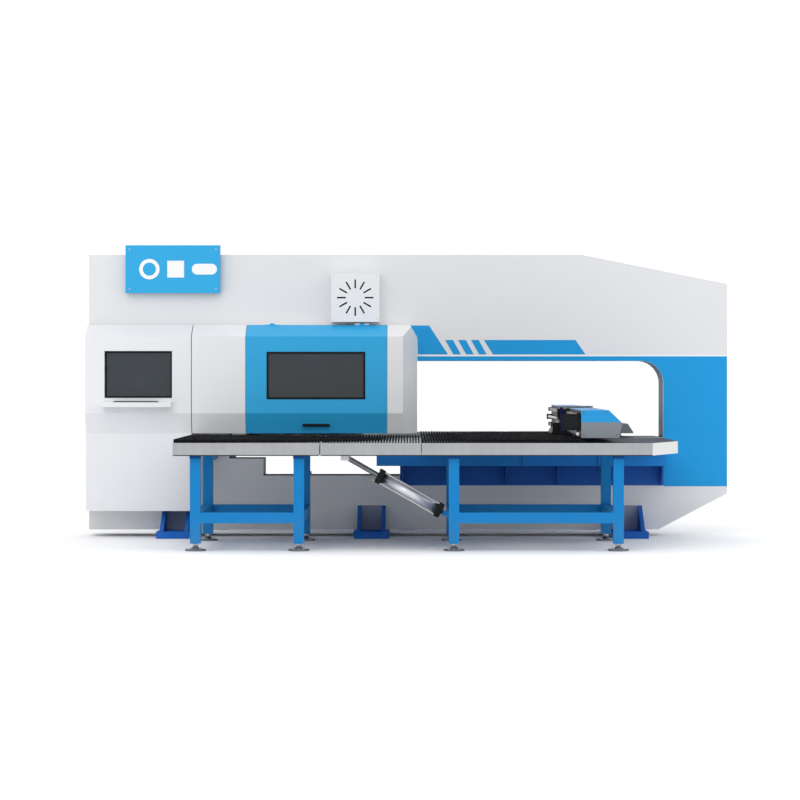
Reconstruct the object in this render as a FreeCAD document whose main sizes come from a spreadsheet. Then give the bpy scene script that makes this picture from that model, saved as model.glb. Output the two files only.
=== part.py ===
import FreeCAD, Part

import math
import os

import Sketcher

# Servo turret punch press with an O-shaped frame, sheet tables on both sides and a feed beam.
# X runs along the throat, Y along the feed beam, Z up. The origin is on the floor, at the
# middle of the frame. Lengths are millimetres.

DIMENSIONS = [
    # frame
    ("frame_length", 5350), ("frame_depth", 530), ("frame_top", 2360), ("frame_low", 57),
    ("plate_thick", 60), ("rim_thick", 40), ("top_run", 1221), ("top_drop", 244),
    ("low_run", 577), ("low_rise", 301),
    # throat through the frame
    ("throat_left", -1500), ("throat_right", 2141), ("throat_low", 508), ("throat_top", 1471),
    ("step_right", -1214), ("step_top", 651), ("throat_corner", 185), ("liner_thick", 30),
    # anchor brackets
    ("bracket_width", 293), ("bracket_reach", 416), ("bracket_left", -1934), ("bracket_mid", -304),
    ("bracket_right", 1842), ("bracket_top", 259), ("gusset_thick", 32), ("gusset_spacing", 203),
    ("anchor_hole", 22), ("anchor_inset", 90), ("bracket_back", 20),
    # rail shelf and its linear rail
    ("shelf_left", -262), ("shelf_right", 2150), ("shelf_reach", 185), ("shelf_low", 594),
    ("shelf_top", 694), ("apron_low", 427), ("apron_left", -67), ("apron_thick", 10), ("tray_bracket", 60),
    ("rib_count", 6), ("rib_first", -50), ("rib_pitch", 433), ("rib_thick", 12),
    ("rail_width", 35), ("rail_high", 28), ("rail_line", 400), ("rail_margin", 40),
    ("block_length", 110), ("block_width", 90), ("block_top", 745), ("run_gap", 0.3),
    # sheet-metal guards
    ("wall", 3), ("hood_top", 1770), ("hood_flat", 110), ("hood_shoulder", 1671),
    ("hood_reach", 330), ("hood_knee", 1035), ("hood_low", 868), ("hood_foot", 265),
    ("cabinet_left", -2675), ("cabinet_right", -1797), ("cabinet_low", 223),
    ("guard_left", -1791), ("door_left", -1344), ("door_right", -174), ("door_gap", 3),
    ("hood_right", 77), ("hood_side_run", 119), ("hood_corner_run", 61), ("hood_corner_drop", 100),
    # control station
    ("screen_left", -2514), ("screen_right", -1954), ("screen_low", 1161), ("screen_top", 1551),
    ("screen_recess", 60), ("screen_thick", 20), ("shelf_board_low", 1087),
    ("shelf_board_thick", 40), ("shelf_board_reach", 135), ("shelf_board_overhang", 16),
    # front door
    ("window_left", -1171), ("window_right", -354), ("window_low", 1151), ("window_top", 1544),
    ("window_lap", 20), ("window_thick", 6), ("handle_centre", -762), ("handle_length", 225),
    ("handle_bar", 12), ("handle_stand", 32), ("handle_high", 936), ("hinge_radius", 7),
    ("hinge_length", 120), ("hinge_inset", 150), ("hinge_leaf", 30), ("knuckle_gap", 0.5),
    # name board and vent
    ("board_left", -2362), ("board_right", -1570), ("board_low", 2037), ("board_top", 2437),
    ("board_thick", 60), ("board_stand", 20), ("board_post", 30), ("vent_centre", -440),
    ("vent_height", 1997), ("vent_half", 202), ("vent_reach", 145), ("slot_inner", 79),
    ("slot_outer", 152), ("slot_width", 13), ("slot_count", 12),
    # drive and ram
    ("motor_radius", 180), ("motor_length", 380), ("gearbox_half", 200), ("gearbox_low", 1760),
    ("gearbox_top", 2240), ("ram_radius", 60), ("ram_top", 1720), ("ram_shoulder", 1300),
    ("striker_radius", 30), ("guide_low", 1371), ("guide_half", 100), ("strike_gap", 0.5),
    # turrets and tooling
    ("turret_centre", -875), ("turret_radius", 500), ("tool_circle", 435), ("tool_count", 19),
    ("upper_low", 905), ("upper_top", 1085), ("lower_low", 755), ("lower_top", 855),
    ("shaft_radius", 48), ("spindle_radius", 40), ("flange_radius", 120), ("base_radius", 60),
    ("flange_thick", 30),
    ("collar_low", 885), ("tool_radius", 28), ("tool_low", 895), ("tool_neck", 20),
    ("neck_high", 33), ("head_radius", 34), ("head_high", 27), ("tip_radius", 9),
    ("tip_long", 17), ("die_low", 815), ("die_top", 858), ("die_radius", 30), ("die_hole", 11),
    # sheet tables
    ("table_end", 2600), ("table_top", 829), ("table_low", 734), ("tray_wall", 8),
    ("table_left", -1800), ("chute_left", -673), ("chute_right", 99), ("table_right", 2128),
    ("table_corner", 1871), ("corner_start", 1832), ("table_inner", 600), ("slot_far", 452),
    ("slot_near", 298), ("centre_left", -330), ("rear_right", 1850), ("rear_plate", 510),
    ("rear_corner", 180), ("band_thick", 6), ("seam_gap", 6),
    ("leg_width", 80), ("leg_front", 2502), ("leg_rear", 957), ("leg_one", -1632),
    ("leg_two", -838), ("leg_three", 353), ("leg_four", 1615), ("rear_leg_two", 0),
    ("rail_low", 213), ("rail_side", 82), ("beam_inset", 12), ("post_width", 80),
    ("pad_radius", 80), ("pad_thick", 14), ("cone_top", 34), ("stem_radius", 14),
    # brushes
    ("brush_top", 860), ("brush_pitch", 22.6), ("brush_width", 12), ("brush_base", 3),
    ("brush_right", 1330), ("brush_end", 1200), ("brush_margin", 6),
    # feed beam, moving along X
    ("beam_left", 1329), ("beam_width", 200), ("beam_low", 872), ("beam_top", 1076),
    ("beam_end", 2490), ("beam_wall", 12), ("cover_thick", 4), ("cover_shelf", 1541),
    ("cover_edge", 1646), ("cover_knee", 979), ("cover_foot", 1617), ("cover_low", 867),
    ("cap_thick", 40), ("saddle_right", 1876), ("saddle_low", 866),
    ("saddle_slope_run", 44), ("saddle_slope_drop", 68), ("foot_left", 1420), ("foot_right", 1775),
    ("saddle_top", 946), ("saddle_half", 446), ("foot_near", 305), ("foot_far", 445),
    ("screw_line", 330), ("screw_height", 719), ("screw_radius", 16), ("nut_left", 1600),
    ("nut_length", 80), ("nut_width", 44), ("screw_support", 45), ("screw_left", 60),
    ("motor_side", 110), ("motor_long", 180),
    # carriage, moving along Y on the beam
    ("carriage_half", 200), ("carriage_rest", -390), ("carriage_left", 1259), ("carriage_plate", 24),
    ("carriage_low", 873), ("carriage_top", 1094), ("slab_low", 1084), ("slab_right", 1534),
    ("guide_width", 25), ("guide_high", 22), ("guide_lower", 905), ("guide_upper", 1040),
    ("guide_block", 120), ("feed_screw_height", 972), ("feed_screw_radius", 12),
    ("feed_screw_out", 24), ("feed_support", 30),
    # sheet clamps
    ("clamp_spacing", 240), ("clamp_width", 90), ("clamp_body", 60), ("clamp_low", 862),
    ("clamp_high", 955), ("clamp_lip", 8), ("clamp_reach", 80), ("jaw_gap", 4),
    ("jaw_pin_height", 906), ("jaw_pin_out", 30), ("jaw_pin_radius", 8), ("jaw_width", 44),
    ("jaw_arm", 16),
    # tilting chute and its cylinder
    ("chute_hinge_height", 746), ("chute_hinge_inset", 12), ("chute_pin_radius", 8),
    ("rod_pin_x", -490), ("rod_pin_height", 720), ("base_pin_x", 284), ("base_pin_height", 278),
    ("cylinder_line", -2250), ("barrel_radius", 50), ("barrel_length", 482), ("head_half", 58),
    ("head_thick", 45), ("tie_radius", 7), ("rod_radius", 20), ("pivot_radius", 14),
    ("eye_radius", 32), ("base_eye", 18), ("base_pin_radius", 10), ("eye_width", 40),
    ("eye_slack", 6), ("lug_thick", 14), ("lug_gap", 1),
]


class Size(float):
    """A length that remembers the sheet formula it comes from."""

    def __new__(cls, number, formula):
        size = super().__new__(cls, number)
        size.formula = formula
        return size

    def __add__(self, other):
        return Size(float(self) + float(other), f"({self.formula} + {formula(other)})")

    def __radd__(self, other):
        return Size(float(other) + float(self), f"({formula(other)} + {self.formula})")

    def __sub__(self, other):
        return Size(float(self) - float(other), f"({self.formula} - {formula(other)})")

    def __rsub__(self, other):
        return Size(float(other) - float(self), f"({formula(other)} - {self.formula})")

    def __mul__(self, other):
        return Size(float(self) * float(other), f"({self.formula} * {formula(other)})")

    def __rmul__(self, other):
        return self * other

    def __truediv__(self, other):
        return Size(float(self) / float(other), f"({self.formula} / {formula(other)})")

    def __neg__(self):
        return Size(-float(self), f"(0 - {self.formula})")


class Sheet:
    """The driving dimensions, read as attributes by their alias."""


def formula(value):
    return value.formula if isinstance(value, Size) else repr(float(value))


def fill_sheet(doc):
    table = doc.addObject("Spreadsheet::Sheet", "Sizes")
    sizes = Sheet()
    for row, (alias, number) in enumerate(DIMENSIONS, start=1):
        table.set(f"A{row}", alias)
        table.set(f"B{row}", str(number))
        table.setAlias(f"B{row}", alias)
        setattr(sizes, alias, Size(number, f"Sizes.{alias}"))
    doc.recompute()
    return sizes


doc = FreeCAD.newDocument("TurretPunchPress")
s = fill_sheet(doc)
NODES = []
ORIGIN = Size(0, "0")


# Building blocks: each binds its sizes and its place to the sheet.

def bind(item, path, value):
    item.setExpression(path, formula(value))


def put(item, x, y, z):
    bind(item, "Placement.Base.x", x)
    bind(item, "Placement.Base.y", y)
    bind(item, "Placement.Base.z", z)


def box(name, across, along, height):
    """A block between three pairs of coordinates."""
    item = doc.addObject("Part::Box", name)
    bind(item, "Length", across[1] - across[0])
    bind(item, "Width", along[1] - along[0])
    bind(item, "Height", height[1] - height[0])
    put(item, across[0], along[0], height[0])
    return item


def rod(name, axis, centre, span, radius):
    """A cylinder along one axis; centre holds the two other coordinates in X, Y, Z order."""
    item = doc.addObject("Part::Cylinder", name)
    bind(item, "Radius", radius)
    bind(item, "Height", span[1] - span[0])
    if axis == "X":
        item.Placement = FreeCAD.Placement(FreeCAD.Vector(), FreeCAD.Rotation(FreeCAD.Vector(0, 1, 0), 90))
        put(item, span[0], centre[0], centre[1])
    elif axis == "Y":
        item.Placement = FreeCAD.Placement(FreeCAD.Vector(), FreeCAD.Rotation(FreeCAD.Vector(1, 0, 0), -90))
        put(item, centre[0], span[0], centre[1])
    else:
        put(item, centre[0], centre[1], span[0])
    return item


def cone(name, centre, span, low_radius, high_radius):
    item = doc.addObject("Part::Cone", name)
    bind(item, "Radius1", low_radius)
    bind(item, "Radius2", high_radius)
    bind(item, "Height", span[1] - span[0])
    put(item, centre[0], centre[1], span[0])
    return item


def sketch_outline(body, plane, points):
    """A closed polygon whose corners are dimensioned from the origin."""
    sketch = body.newObject("Sketcher::SketchObject", body.Name + "_outline")
    origin_plane = next(part for part in body.Origin.OriginFeatures if part.Role == plane + "_Plane")
    sketch.AttachmentSupport = (origin_plane, [""])
    sketch.MapMode = "FlatFace"
    count = len(points)
    corners = [FreeCAD.Vector(float(a), float(b), 0) for a, b in points]
    for index in range(count):
        sketch.addGeometry(Part.LineSegment(corners[index], corners[(index + 1) % count]), False)
    for index in range(count):
        sketch.addConstraint(Sketcher.Constraint("Coincident", index, 2, (index + 1) % count, 1))
    for index, corner in enumerate(corners):
        for kind, value, place in zip(("DistanceX", "DistanceY"), points[index], (corner.x, corner.y)):
            number = sketch.addConstraint(Sketcher.Constraint(kind, -1, 1, index, 1, place))
            bind(sketch, f"Constraints[{number}]", value)
    return sketch


def prism(name, plane, points, span):
    """A padded polygon: XY pads up, XZ pads along +Y, YZ pads along +X."""
    body = doc.addObject("PartDesign::Body", name)
    pad = body.newObject("PartDesign::Pad", name + "_pad")
    pad.Profile = sketch_outline(body, plane, points)
    pad.Reversed = plane == "XZ"
    bind(pad, "Length", span[1] - span[0])
    normal = {"XY": "z", "XZ": "y", "YZ": "x"}[plane]
    bind(body, "Placement.Base." + normal, span[0])
    return body


def round_edge(body, radius, x, z):
    """Rounds the upright-to-flat corner of an XZ prism whose edge lies at x, z."""
    doc.recompute()
    pad = body.Tip
    names = []
    for index, edge in enumerate(pad.Shape.Edges, start=1):
        middle = edge.BoundBox.Center
        if abs(middle.x - float(x)) < 0.5 and abs(middle.z - float(z)) < 0.5:
            names.append(f"Edge{index}")
    fillet = body.newObject("PartDesign::Fillet", body.Name + "_corner")
    fillet.Base = (pad, names)
    bind(fillet, "Radius", radius)
    body.Tip = fillet
    return body


def many(kind, name, items):
    item = doc.addObject(kind, name)
    setattr(item, "Links" if kind == "Part::Compound" else "Shapes", items)
    return item


def join(name, *items):
    item = many("Part::MultiFuse", name, list(items))
    item.Refine = True
    return item


def meet(name, *items):
    return many("Part::MultiCommon", name, list(items))


def group(name, *items):
    return many("Part::Compound", name, list(items))


def cut(name, base, *tools):
    item = doc.addObject("Part::Cut", name)
    item.Base = base
    item.Tool = tools[0] if len(tools) == 1 else group(name + "_tools", *tools)
    return item


def mirrored(name, item):
    """The same piece on the other side of the frame's middle plane."""
    twin = doc.addObject("Part::Mirroring", name)
    twin.Source = item
    twin.Normal = (0, 1, 0)
    return twin


def hollow(name, item, wall, *open_sides):
    """A sheet-metal shell, open where a face looks along one of open_sides."""
    doc.recompute()
    names = []
    for index, face in enumerate(item.Shape.Faces, start=1):
        low, high, start, end = face.ParameterRange
        normal = face.normalAt((low + high) / 2, (start + end) / 2)
        if any(normal.dot(FreeCAD.Vector(*side)) > 0.99 for side in open_sides):
            names.append(f"Face{index}")
    shell = doc.addObject("Part::Thickness", name)
    shell.Faces = (item, names)
    shell.Join = 2
    bind(shell, "Value", -wall)
    return shell


def keep(item):
    """Marks an object as a piece of the machine, written under its own label."""
    NODES.append(item)
    return item


# The open sides of a hollow sheet-metal piece.
FRONT, BACK = (0, -1, 0), (0, 1, 0)
LEFT = (-1, 0, 0)
DOWN = (0, 0, -1)

half_depth = s.frame_depth / 2
half_length = s.frame_length / 2


# Frame: two side plates welded to a core of rim, ribs and throat liner.

def frame_points():
    return [
        (-half_length, s.frame_low),
        (half_length - s.low_run, s.frame_low),
        (half_length, s.frame_low + s.low_rise),
        (half_length, s.frame_top - s.top_drop),
        (half_length - s.top_run, s.frame_top),
        (-half_length, s.frame_top),
    ]


def throat_points(grow):
    return [
        (s.throat_left - grow, s.step_top - grow),
        (s.step_right - grow, s.step_top - grow),
        (s.step_right - grow, s.throat_low - grow),
        (s.throat_right + grow, s.throat_low - grow),
        (s.throat_right + grow, s.throat_top + grow),
        (s.throat_left - grow, s.throat_top + grow),
    ]


def throat_prism(name, grow, span):
    body = prism(name, "XZ", throat_points(grow), span)
    return round_edge(body, s.throat_corner + grow, s.throat_right + grow, s.throat_top + grow)


def build_frame():
    front_span = (-half_depth, s.plate_thick - half_depth)
    plate = cut(
        "frame_front_plate",
        prism("front_outline", "XZ", frame_points(), front_span),
        throat_prism("front_throat", ORIGIN, front_span),
    )
    keep(plate)
    keep(mirrored("frame_rear_plate", plate))

    core_span = (s.plate_thick - half_depth, half_depth - s.plate_thick)
    rim = hollow("rim", prism("rim_outline", "XZ", frame_points(), core_span), s.rim_thick, FRONT, BACK)
    ribs = []
    places = (s.throat_left - s.liner_thick, s.vent_centre - s.gearbox_half - s.liner_thick,
              s.vent_centre + s.gearbox_half, s.throat_right / 2, s.throat_right)
    for index, x in enumerate(places):
        ribs.append(box(f"top_rib_{index}", (x, x + s.liner_thick), core_span,
                        (s.throat_top, s.frame_top - s.rim_thick)))
        ribs.append(box(f"low_rib_{index}", (x, x + s.liner_thick), core_span,
                        (s.frame_low + s.rim_thick, s.throat_low)))
    trimmed = meet("ribs_in_frame", prism("rib_limit", "XZ", frame_points(), core_span),
                   join("ribs", *ribs))
    liner = throat_prism("liner_outer", s.liner_thick, core_span)
    body = join("core_body", rim, trimmed, liner)
    ram_hole = rod("ram_hole", "Z", (s.vent_centre, ORIGIN),
                   (s.throat_top, s.throat_top + s.liner_thick), s.ram_radius + s.wall)
    keep(cut("frame_core", body, throat_prism("liner_inner", ORIGIN, core_span), ram_hole))


def anchor_bracket(name, centre):
    half = s.bracket_width / 2
    face = -half_depth
    tip = face - s.bracket_reach
    base = box(name + "_base", (centre - half, centre + half), (tip, face + s.plate_thick),
               (ORIGIN, s.frame_low))
    pieces = [base]
    profile = [(face, s.frame_low), (tip + s.wall, s.frame_low), (tip + s.wall, s.frame_low + s.wall),
               (face - s.bracket_back, s.bracket_top), (face, s.bracket_top)]
    for side, offset in (("left", -s.gusset_spacing / 2), ("right", s.gusset_spacing / 2)):
        start = centre + offset - s.gusset_thick / 2
        pieces.append(prism(f"{name}_gusset_{side}", "YZ", profile, (start, start + s.gusset_thick)))
    reach = s.gusset_spacing / 2
    pieces.append(box(name + "_back", (centre - reach, centre + reach), (face - s.bracket_back, face),
                      (s.frame_low, s.bracket_top)))
    hole = rod(name + "_hole", "Z", (centre, tip + s.anchor_inset), (ORIGIN, s.frame_low),
               s.anchor_hole)
    return cut(name, join(name + "_weld", *pieces), hole)


def build_brackets():
    front = [
        anchor_bracket("bracket_a", s.bracket_left),
        anchor_bracket("bracket_b", s.bracket_mid),
        anchor_bracket("bracket_c", s.bracket_right),
    ]
    front_group = keep(group("front_anchor_brackets", *front))
    keep(mirrored("rear_anchor_brackets", front_group))


def screw_supports():
    """Bearing blocks on the rear shelf, one at each end of the ball screw."""
    half = s.nut_width / 2
    supports = []
    for side, start in (("left", s.screw_left), ("right", s.shelf_right - s.screw_support)):
        body = box(f"x_support_{side}_body", (start, start + s.screw_support),
                   (s.screw_line - half, s.screw_line + half), (s.shelf_top, s.block_top))
        bore = rod(f"x_support_{side}_bore", "X", (s.screw_line, s.screw_height),
                   (start, start + s.screw_support), s.screw_radius + s.run_gap)
        supports.append(cut(f"x_support_{side}", body, bore))
    return supports


def build_shelves():
    face = -half_depth
    tip = face - s.shelf_reach
    pieces = [
        box("shelf_beam", (s.shelf_left, s.shelf_right), (tip, face), (s.shelf_low, s.shelf_top)),
        box("shelf_apron", (s.apron_left, s.throat_right), (face - s.apron_thick, face),
            (s.apron_low, s.shelf_low)),
    ]
    profile = [(face, s.apron_low), (face - s.apron_thick, s.apron_low),
               (tip + s.apron_thick, (s.apron_low + s.shelf_low * 2) / 3),
               (tip + s.apron_thick, s.shelf_low),
               (face, s.shelf_low)]
    for index in range(int(s.rib_count)):
        start = s.rib_first + s.rib_pitch * index
        pieces.append(prism(f"shelf_rib_{index}", "YZ", profile, (start, start + s.rib_thick)))
    edge = -s.slot_far
    for index, x in enumerate((s.leg_three, (s.leg_three + s.leg_four) / 2, s.leg_four)):
        half = s.tray_bracket / 2
        pieces.append(box(f"tray_bracket_{index}", (x - half, x + half), (edge - s.tray_wall * 2, tip),
                          (s.shelf_low, s.table_low)))
    shelf = keep(join("front_rail_shelf", *pieces))
    keep(join("rear_rail_shelf", mirrored("rear_shelf_weld", shelf), *screw_supports()))

    rails = []
    for side, line in (("front", -s.rail_line), ("rear", s.rail_line)):
        rails.append(box(side + "_rail", (s.shelf_left + s.rail_margin, s.shelf_right - s.rail_margin),
                         (line - s.rail_width / 2, line + s.rail_width / 2),
                         (s.shelf_top, s.shelf_top + s.rail_high)))
    keep(group("x_rails", *rails))


# Guards: bent sheet metal, all with the same section.

def hood_points(low, inset):
    face = -half_depth
    front = face - s.hood_reach + inset
    flat = face - s.hood_flat
    return [
        (face, low),
        (face - s.hood_foot, low),
        (front, s.hood_knee),
        (front, s.hood_shoulder - inset / 2),
        (flat, s.hood_top - inset),
        (face, s.hood_top - inset),
    ]


def hood(name, span, low):
    return prism(name, "YZ", hood_points(low, ORIGIN), span)


def build_control_station():
    face = -half_depth
    front = face - s.hood_reach
    foot = face - s.hood_foot
    profile = hood_points(s.cabinet_low, ORIGIN)
    profile.insert(2, (foot, s.hood_low))
    shell = hollow("cabinet_shell", prism("cabinet_block", "YZ", profile, (s.cabinet_left, s.cabinet_right)),
                   s.wall, BACK)
    pocket_outer = box("recess_outer", (s.screen_left - s.wall, s.screen_right + s.wall),
                       (front, front + s.screen_recess + s.wall),
                       (s.screen_low - s.wall, s.screen_top + s.wall))
    pocket_inner = box("recess_inner", (s.screen_left, s.screen_right),
                       (front - s.wall, front + s.screen_recess),
                       (s.screen_low, s.screen_top))
    half = s.bracket_width / 2
    notch = box("cabinet_notch", (s.bracket_left - half, s.bracket_left + half),
                (face - s.hood_flat, face), (s.cabinet_low, s.bracket_top + s.wall))
    keep(cut("control_cabinet", join("cabinet_weld", shell, pocket_outer), pocket_inner, notch))
    keep(box("control_screen", (s.screen_left + s.wall, s.screen_right - s.wall),
             (front + s.screen_recess - s.screen_thick, front + s.screen_recess),
             (s.screen_low + s.wall, s.screen_top - s.wall)))
    keep(box("keyboard_shelf", (s.screen_left - s.shelf_board_overhang, s.screen_right),
             (front - s.shelf_board_reach, front),
             (s.shelf_board_low, s.shelf_board_low + s.shelf_board_thick)))


def hinge_starts():
    return s.door_left + s.hinge_inset, s.door_right - s.hinge_inset - s.hinge_length


def build_guards():
    face = -half_depth
    flat = face - s.hood_flat
    panel = hollow("panel_shell", hood("panel_block", (s.guard_left, s.door_left - s.door_gap), s.hood_low),
                   s.wall, BACK, DOWN)
    header = box("header", (s.door_left - s.door_gap, s.door_right + s.door_gap),
                 (flat + s.door_gap, face), (s.hood_top - s.wall, s.hood_top))
    knuckles = []
    axis = (flat, s.hood_top + s.hinge_radius)
    third = s.hinge_length / 3
    for index, start in enumerate(hinge_starts()):
        for side, near in (("a", start), ("b", start + third * 2)):
            knuckles.append(rod(f"knuckle_{index}{side}", "X", axis, (near, near + third), s.hinge_radius))
            knuckles.append(box(f"hinge_leaf_{index}{side}", (near, near + third),
                                (flat, flat + s.hinge_leaf), (s.hood_top, s.hood_top + s.wall)))
        knuckles.append(rod(f"hinge_pin_{index}", "X", axis, (start, start + s.hinge_length),
                            s.hinge_radius / 2))
    keep(join("front_guard", panel, header, *knuckles))

    start = s.door_right + s.door_gap
    plan = [(start, face), (s.hood_right, face), (s.hood_right - s.hood_side_run, face - s.hood_reach),
            (start, face - s.hood_reach)]
    front_view = [(start, s.hood_low), (s.hood_right, s.hood_low),
                  (s.hood_right, s.hood_top - s.hood_corner_drop),
                  (s.hood_right - s.hood_corner_run, s.hood_top), (start, s.hood_top)]
    block = meet("side_block", hood("side_section", (start, s.hood_right), s.hood_low),
                 prism("side_plan", "XY", plan, (s.hood_low, s.hood_top)),
                 prism("side_view", "XZ", front_view, (face - s.hood_reach, face)))
    keep(hollow("right_guard", block, s.wall, BACK, DOWN, LEFT))

    rear_block = hood("rear_block", (s.guard_left, s.hood_right), s.hood_low)
    keep(mirrored("rear_guard", hollow("rear_shell", rear_block, s.wall, BACK, DOWN)))


def build_door():
    face = -half_depth
    front = face - s.hood_reach
    blank = hollow("door_shell", hood("door_block", (s.door_left, s.door_right), s.hood_low),
                   s.wall, BACK, DOWN)
    top_cut = box("door_top_cut", (s.door_left, s.door_right), (face - s.hood_flat, face),
                  (s.hood_low, s.hood_top))
    opening = box("window_opening", (s.window_left, s.window_right), (front, front + s.wall * 2),
                  (s.window_low, s.window_top))
    flat = face - s.hood_flat
    axis = (flat, s.hood_top + s.hinge_radius)
    third = s.hinge_length / 3
    knuckles = []
    bores = []
    for index, start in enumerate(hinge_starts()):
        span = (start + third + s.knuckle_gap, start + third * 2 - s.knuckle_gap)
        knuckles.append(rod(f"door_knuckle_{index}", "X", axis, span, s.hinge_radius))
        knuckles.append(box(f"door_leaf_{index}", span, (flat - s.hinge_radius, flat),
                            (s.hood_top - s.hinge_radius * 2, s.hood_top + s.hinge_radius)))
        bores.append(rod(f"door_hinge_bore_{index}", "X", axis, span, s.hinge_radius / 2 + s.run_gap))
    skin = cut("door_skin", blank, top_cut, opening)
    keep(cut("front_door", join("door_weld", skin, *knuckles), *bores))
    keep(box("door_window", (s.window_left - s.window_lap, s.window_right + s.window_lap),
             (front + s.wall, front + s.wall + s.window_thick),
             (s.window_low - s.window_lap, s.window_top + s.window_lap)))

    # the handle stands off the lower slope, on two posts along Y
    slope = (s.hood_reach - s.hood_foot) / (s.hood_knee - s.hood_low)
    surface = front + (s.hood_knee - s.handle_high) * slope
    bar_y = surface - s.handle_stand
    half = s.handle_length / 2
    pieces = [rod("handle_grip", "X", (bar_y, s.handle_high),
                  (s.handle_centre - half, s.handle_centre + half), s.handle_bar)]
    for side, x in (("left", s.handle_centre - half + s.handle_bar),
                    ("right", s.handle_centre + half - s.handle_bar)):
        pieces.append(rod("handle_post_" + side, "Y", (x, s.handle_high), (bar_y, surface + s.wall),
                          s.handle_bar * 0.75))
    keep(cut("door_handle", join("handle_weld", *pieces),
             hood("handle_trim", (s.door_left, s.door_right), s.hood_low)))


def build_board_and_vent():
    face = -half_depth
    back = face - s.board_stand
    board = box("board", (s.board_left, s.board_right), (back - s.board_thick, back),
                (s.board_low, s.board_top))
    posts = []
    for index, (x, z) in enumerate([
            (s.board_left + s.board_post * 3, s.board_low + s.board_post * 2),
            (s.board_right - s.board_post * 3, s.board_low + s.board_post * 2),
            (s.board_left + s.board_post * 3, s.frame_top - s.board_post * 2),
            (s.board_right - s.board_post * 3, s.frame_top - s.board_post * 2)]):
        posts.append(rod(f"board_post_{index}", "Y", (x, z), (back, face), s.board_post / 2))
    keep(join("sign_panel", board, *posts))

    block = box("vent_block", (s.vent_centre - s.vent_half, s.vent_centre + s.vent_half),
                (face - s.vent_reach, face), (s.vent_height - s.vent_half, s.vent_height + s.vent_half))
    shell = hollow("vent_shell", block, s.wall, BACK)
    slots = doc.addObject("PartDesign::Body", "vent_slots")
    half = s.slot_width / 2
    slot = slots.newObject("PartDesign::Pad", "slot_pad")
    slot.Profile = sketch_outline(slots, "XZ", [(s.slot_inner, -half), (s.slot_outer, -half),
                                                (s.slot_outer, half), (s.slot_inner, half)])
    slot.Reversed = True
    bind(slot, "Length", s.wall * 3)
    doc.recompute()
    ring = slots.newObject("PartDesign::PolarPattern", "slot_ring")
    ring.Originals = [slot]
    ring.Axis = (slot.Profile[0], ["N_Axis"])
    ring.Angle = 360
    bind(ring, "Occurrences", s.slot_count)
    slots.Tip = ring
    put(slots, s.vent_centre, face - s.vent_reach - s.wall, s.vent_height)
    keep(cut("vent_box", shell, slots))


# Press drive, ram and turrets.

def build_drive():
    keep(rod("main_motor", "Y", (s.vent_centre, s.vent_height), (half_depth, half_depth + s.motor_length),
             s.motor_radius))
    core = half_depth - s.plate_thick
    keep(box("drive_gearbox", (s.vent_centre - s.gearbox_half, s.vent_centre + s.gearbox_half),
             (-core, core), (s.gearbox_low, s.gearbox_top)))
    zero = ORIGIN
    guide = box("guide_block", (s.vent_centre - s.guide_half, s.vent_centre + s.guide_half),
                (-s.guide_half, s.guide_half), (s.guide_low, s.throat_top))
    bore = rod("guide_bore", "Z", (s.vent_centre, zero), (s.guide_low, s.throat_top),
               s.ram_radius + s.run_gap)
    keep(cut("ram_guide", guide, bore))
    head_top = s.upper_top + s.neck_high + s.head_high
    keep(join("ram", rod("ram_body", "Z", (s.vent_centre, zero), (s.ram_shoulder, s.ram_top), s.ram_radius),
              rod("striker", "Z", (s.vent_centre, zero), (head_top + s.strike_gap, s.ram_shoulder),
                  s.striker_radius)))


def tool_places():
    """Centres of the stations, the first one under the ram."""
    step = 360.0 / int(s.tool_count)
    for index in range(int(s.tool_count)):
        angle = math.radians(step * index)
        yield index, s.turret_centre + s.tool_circle * math.cos(angle), s.tool_circle * math.sin(angle)


def turret(name, span, tool_span):
    zero = ORIGIN
    disc = rod(name + "_disc", "Z", (s.turret_centre, zero), span, s.turret_radius)
    holes = [rod(name + "_hub", "Z", (s.turret_centre, zero), span, s.spindle_radius + s.run_gap)]
    radius = s.tool_radius if name == "upper" else s.die_radius
    for index, x, y in tool_places():
        holes.append(rod(f"{name}_bore_{index}", "Z", (x, y), tool_span, radius + s.run_gap))
    return keep(cut(name + "_turret", disc, *holes))


def punch(name, x, y):
    body_top = s.upper_top
    head_low = body_top + s.neck_high
    return join(
        name,
        rod(name + "_tip", "Z", (x, y), (s.tool_low - s.tip_long, s.tool_low), s.tip_radius),
        rod(name + "_body", "Z", (x, y), (s.tool_low, body_top), s.tool_radius),
        rod(name + "_neck", "Z", (x, y), (body_top, head_low), s.tool_neck),
        rod(name + "_head", "Z", (x, y), (head_low, head_low + s.head_high), s.head_radius),
    )


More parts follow.
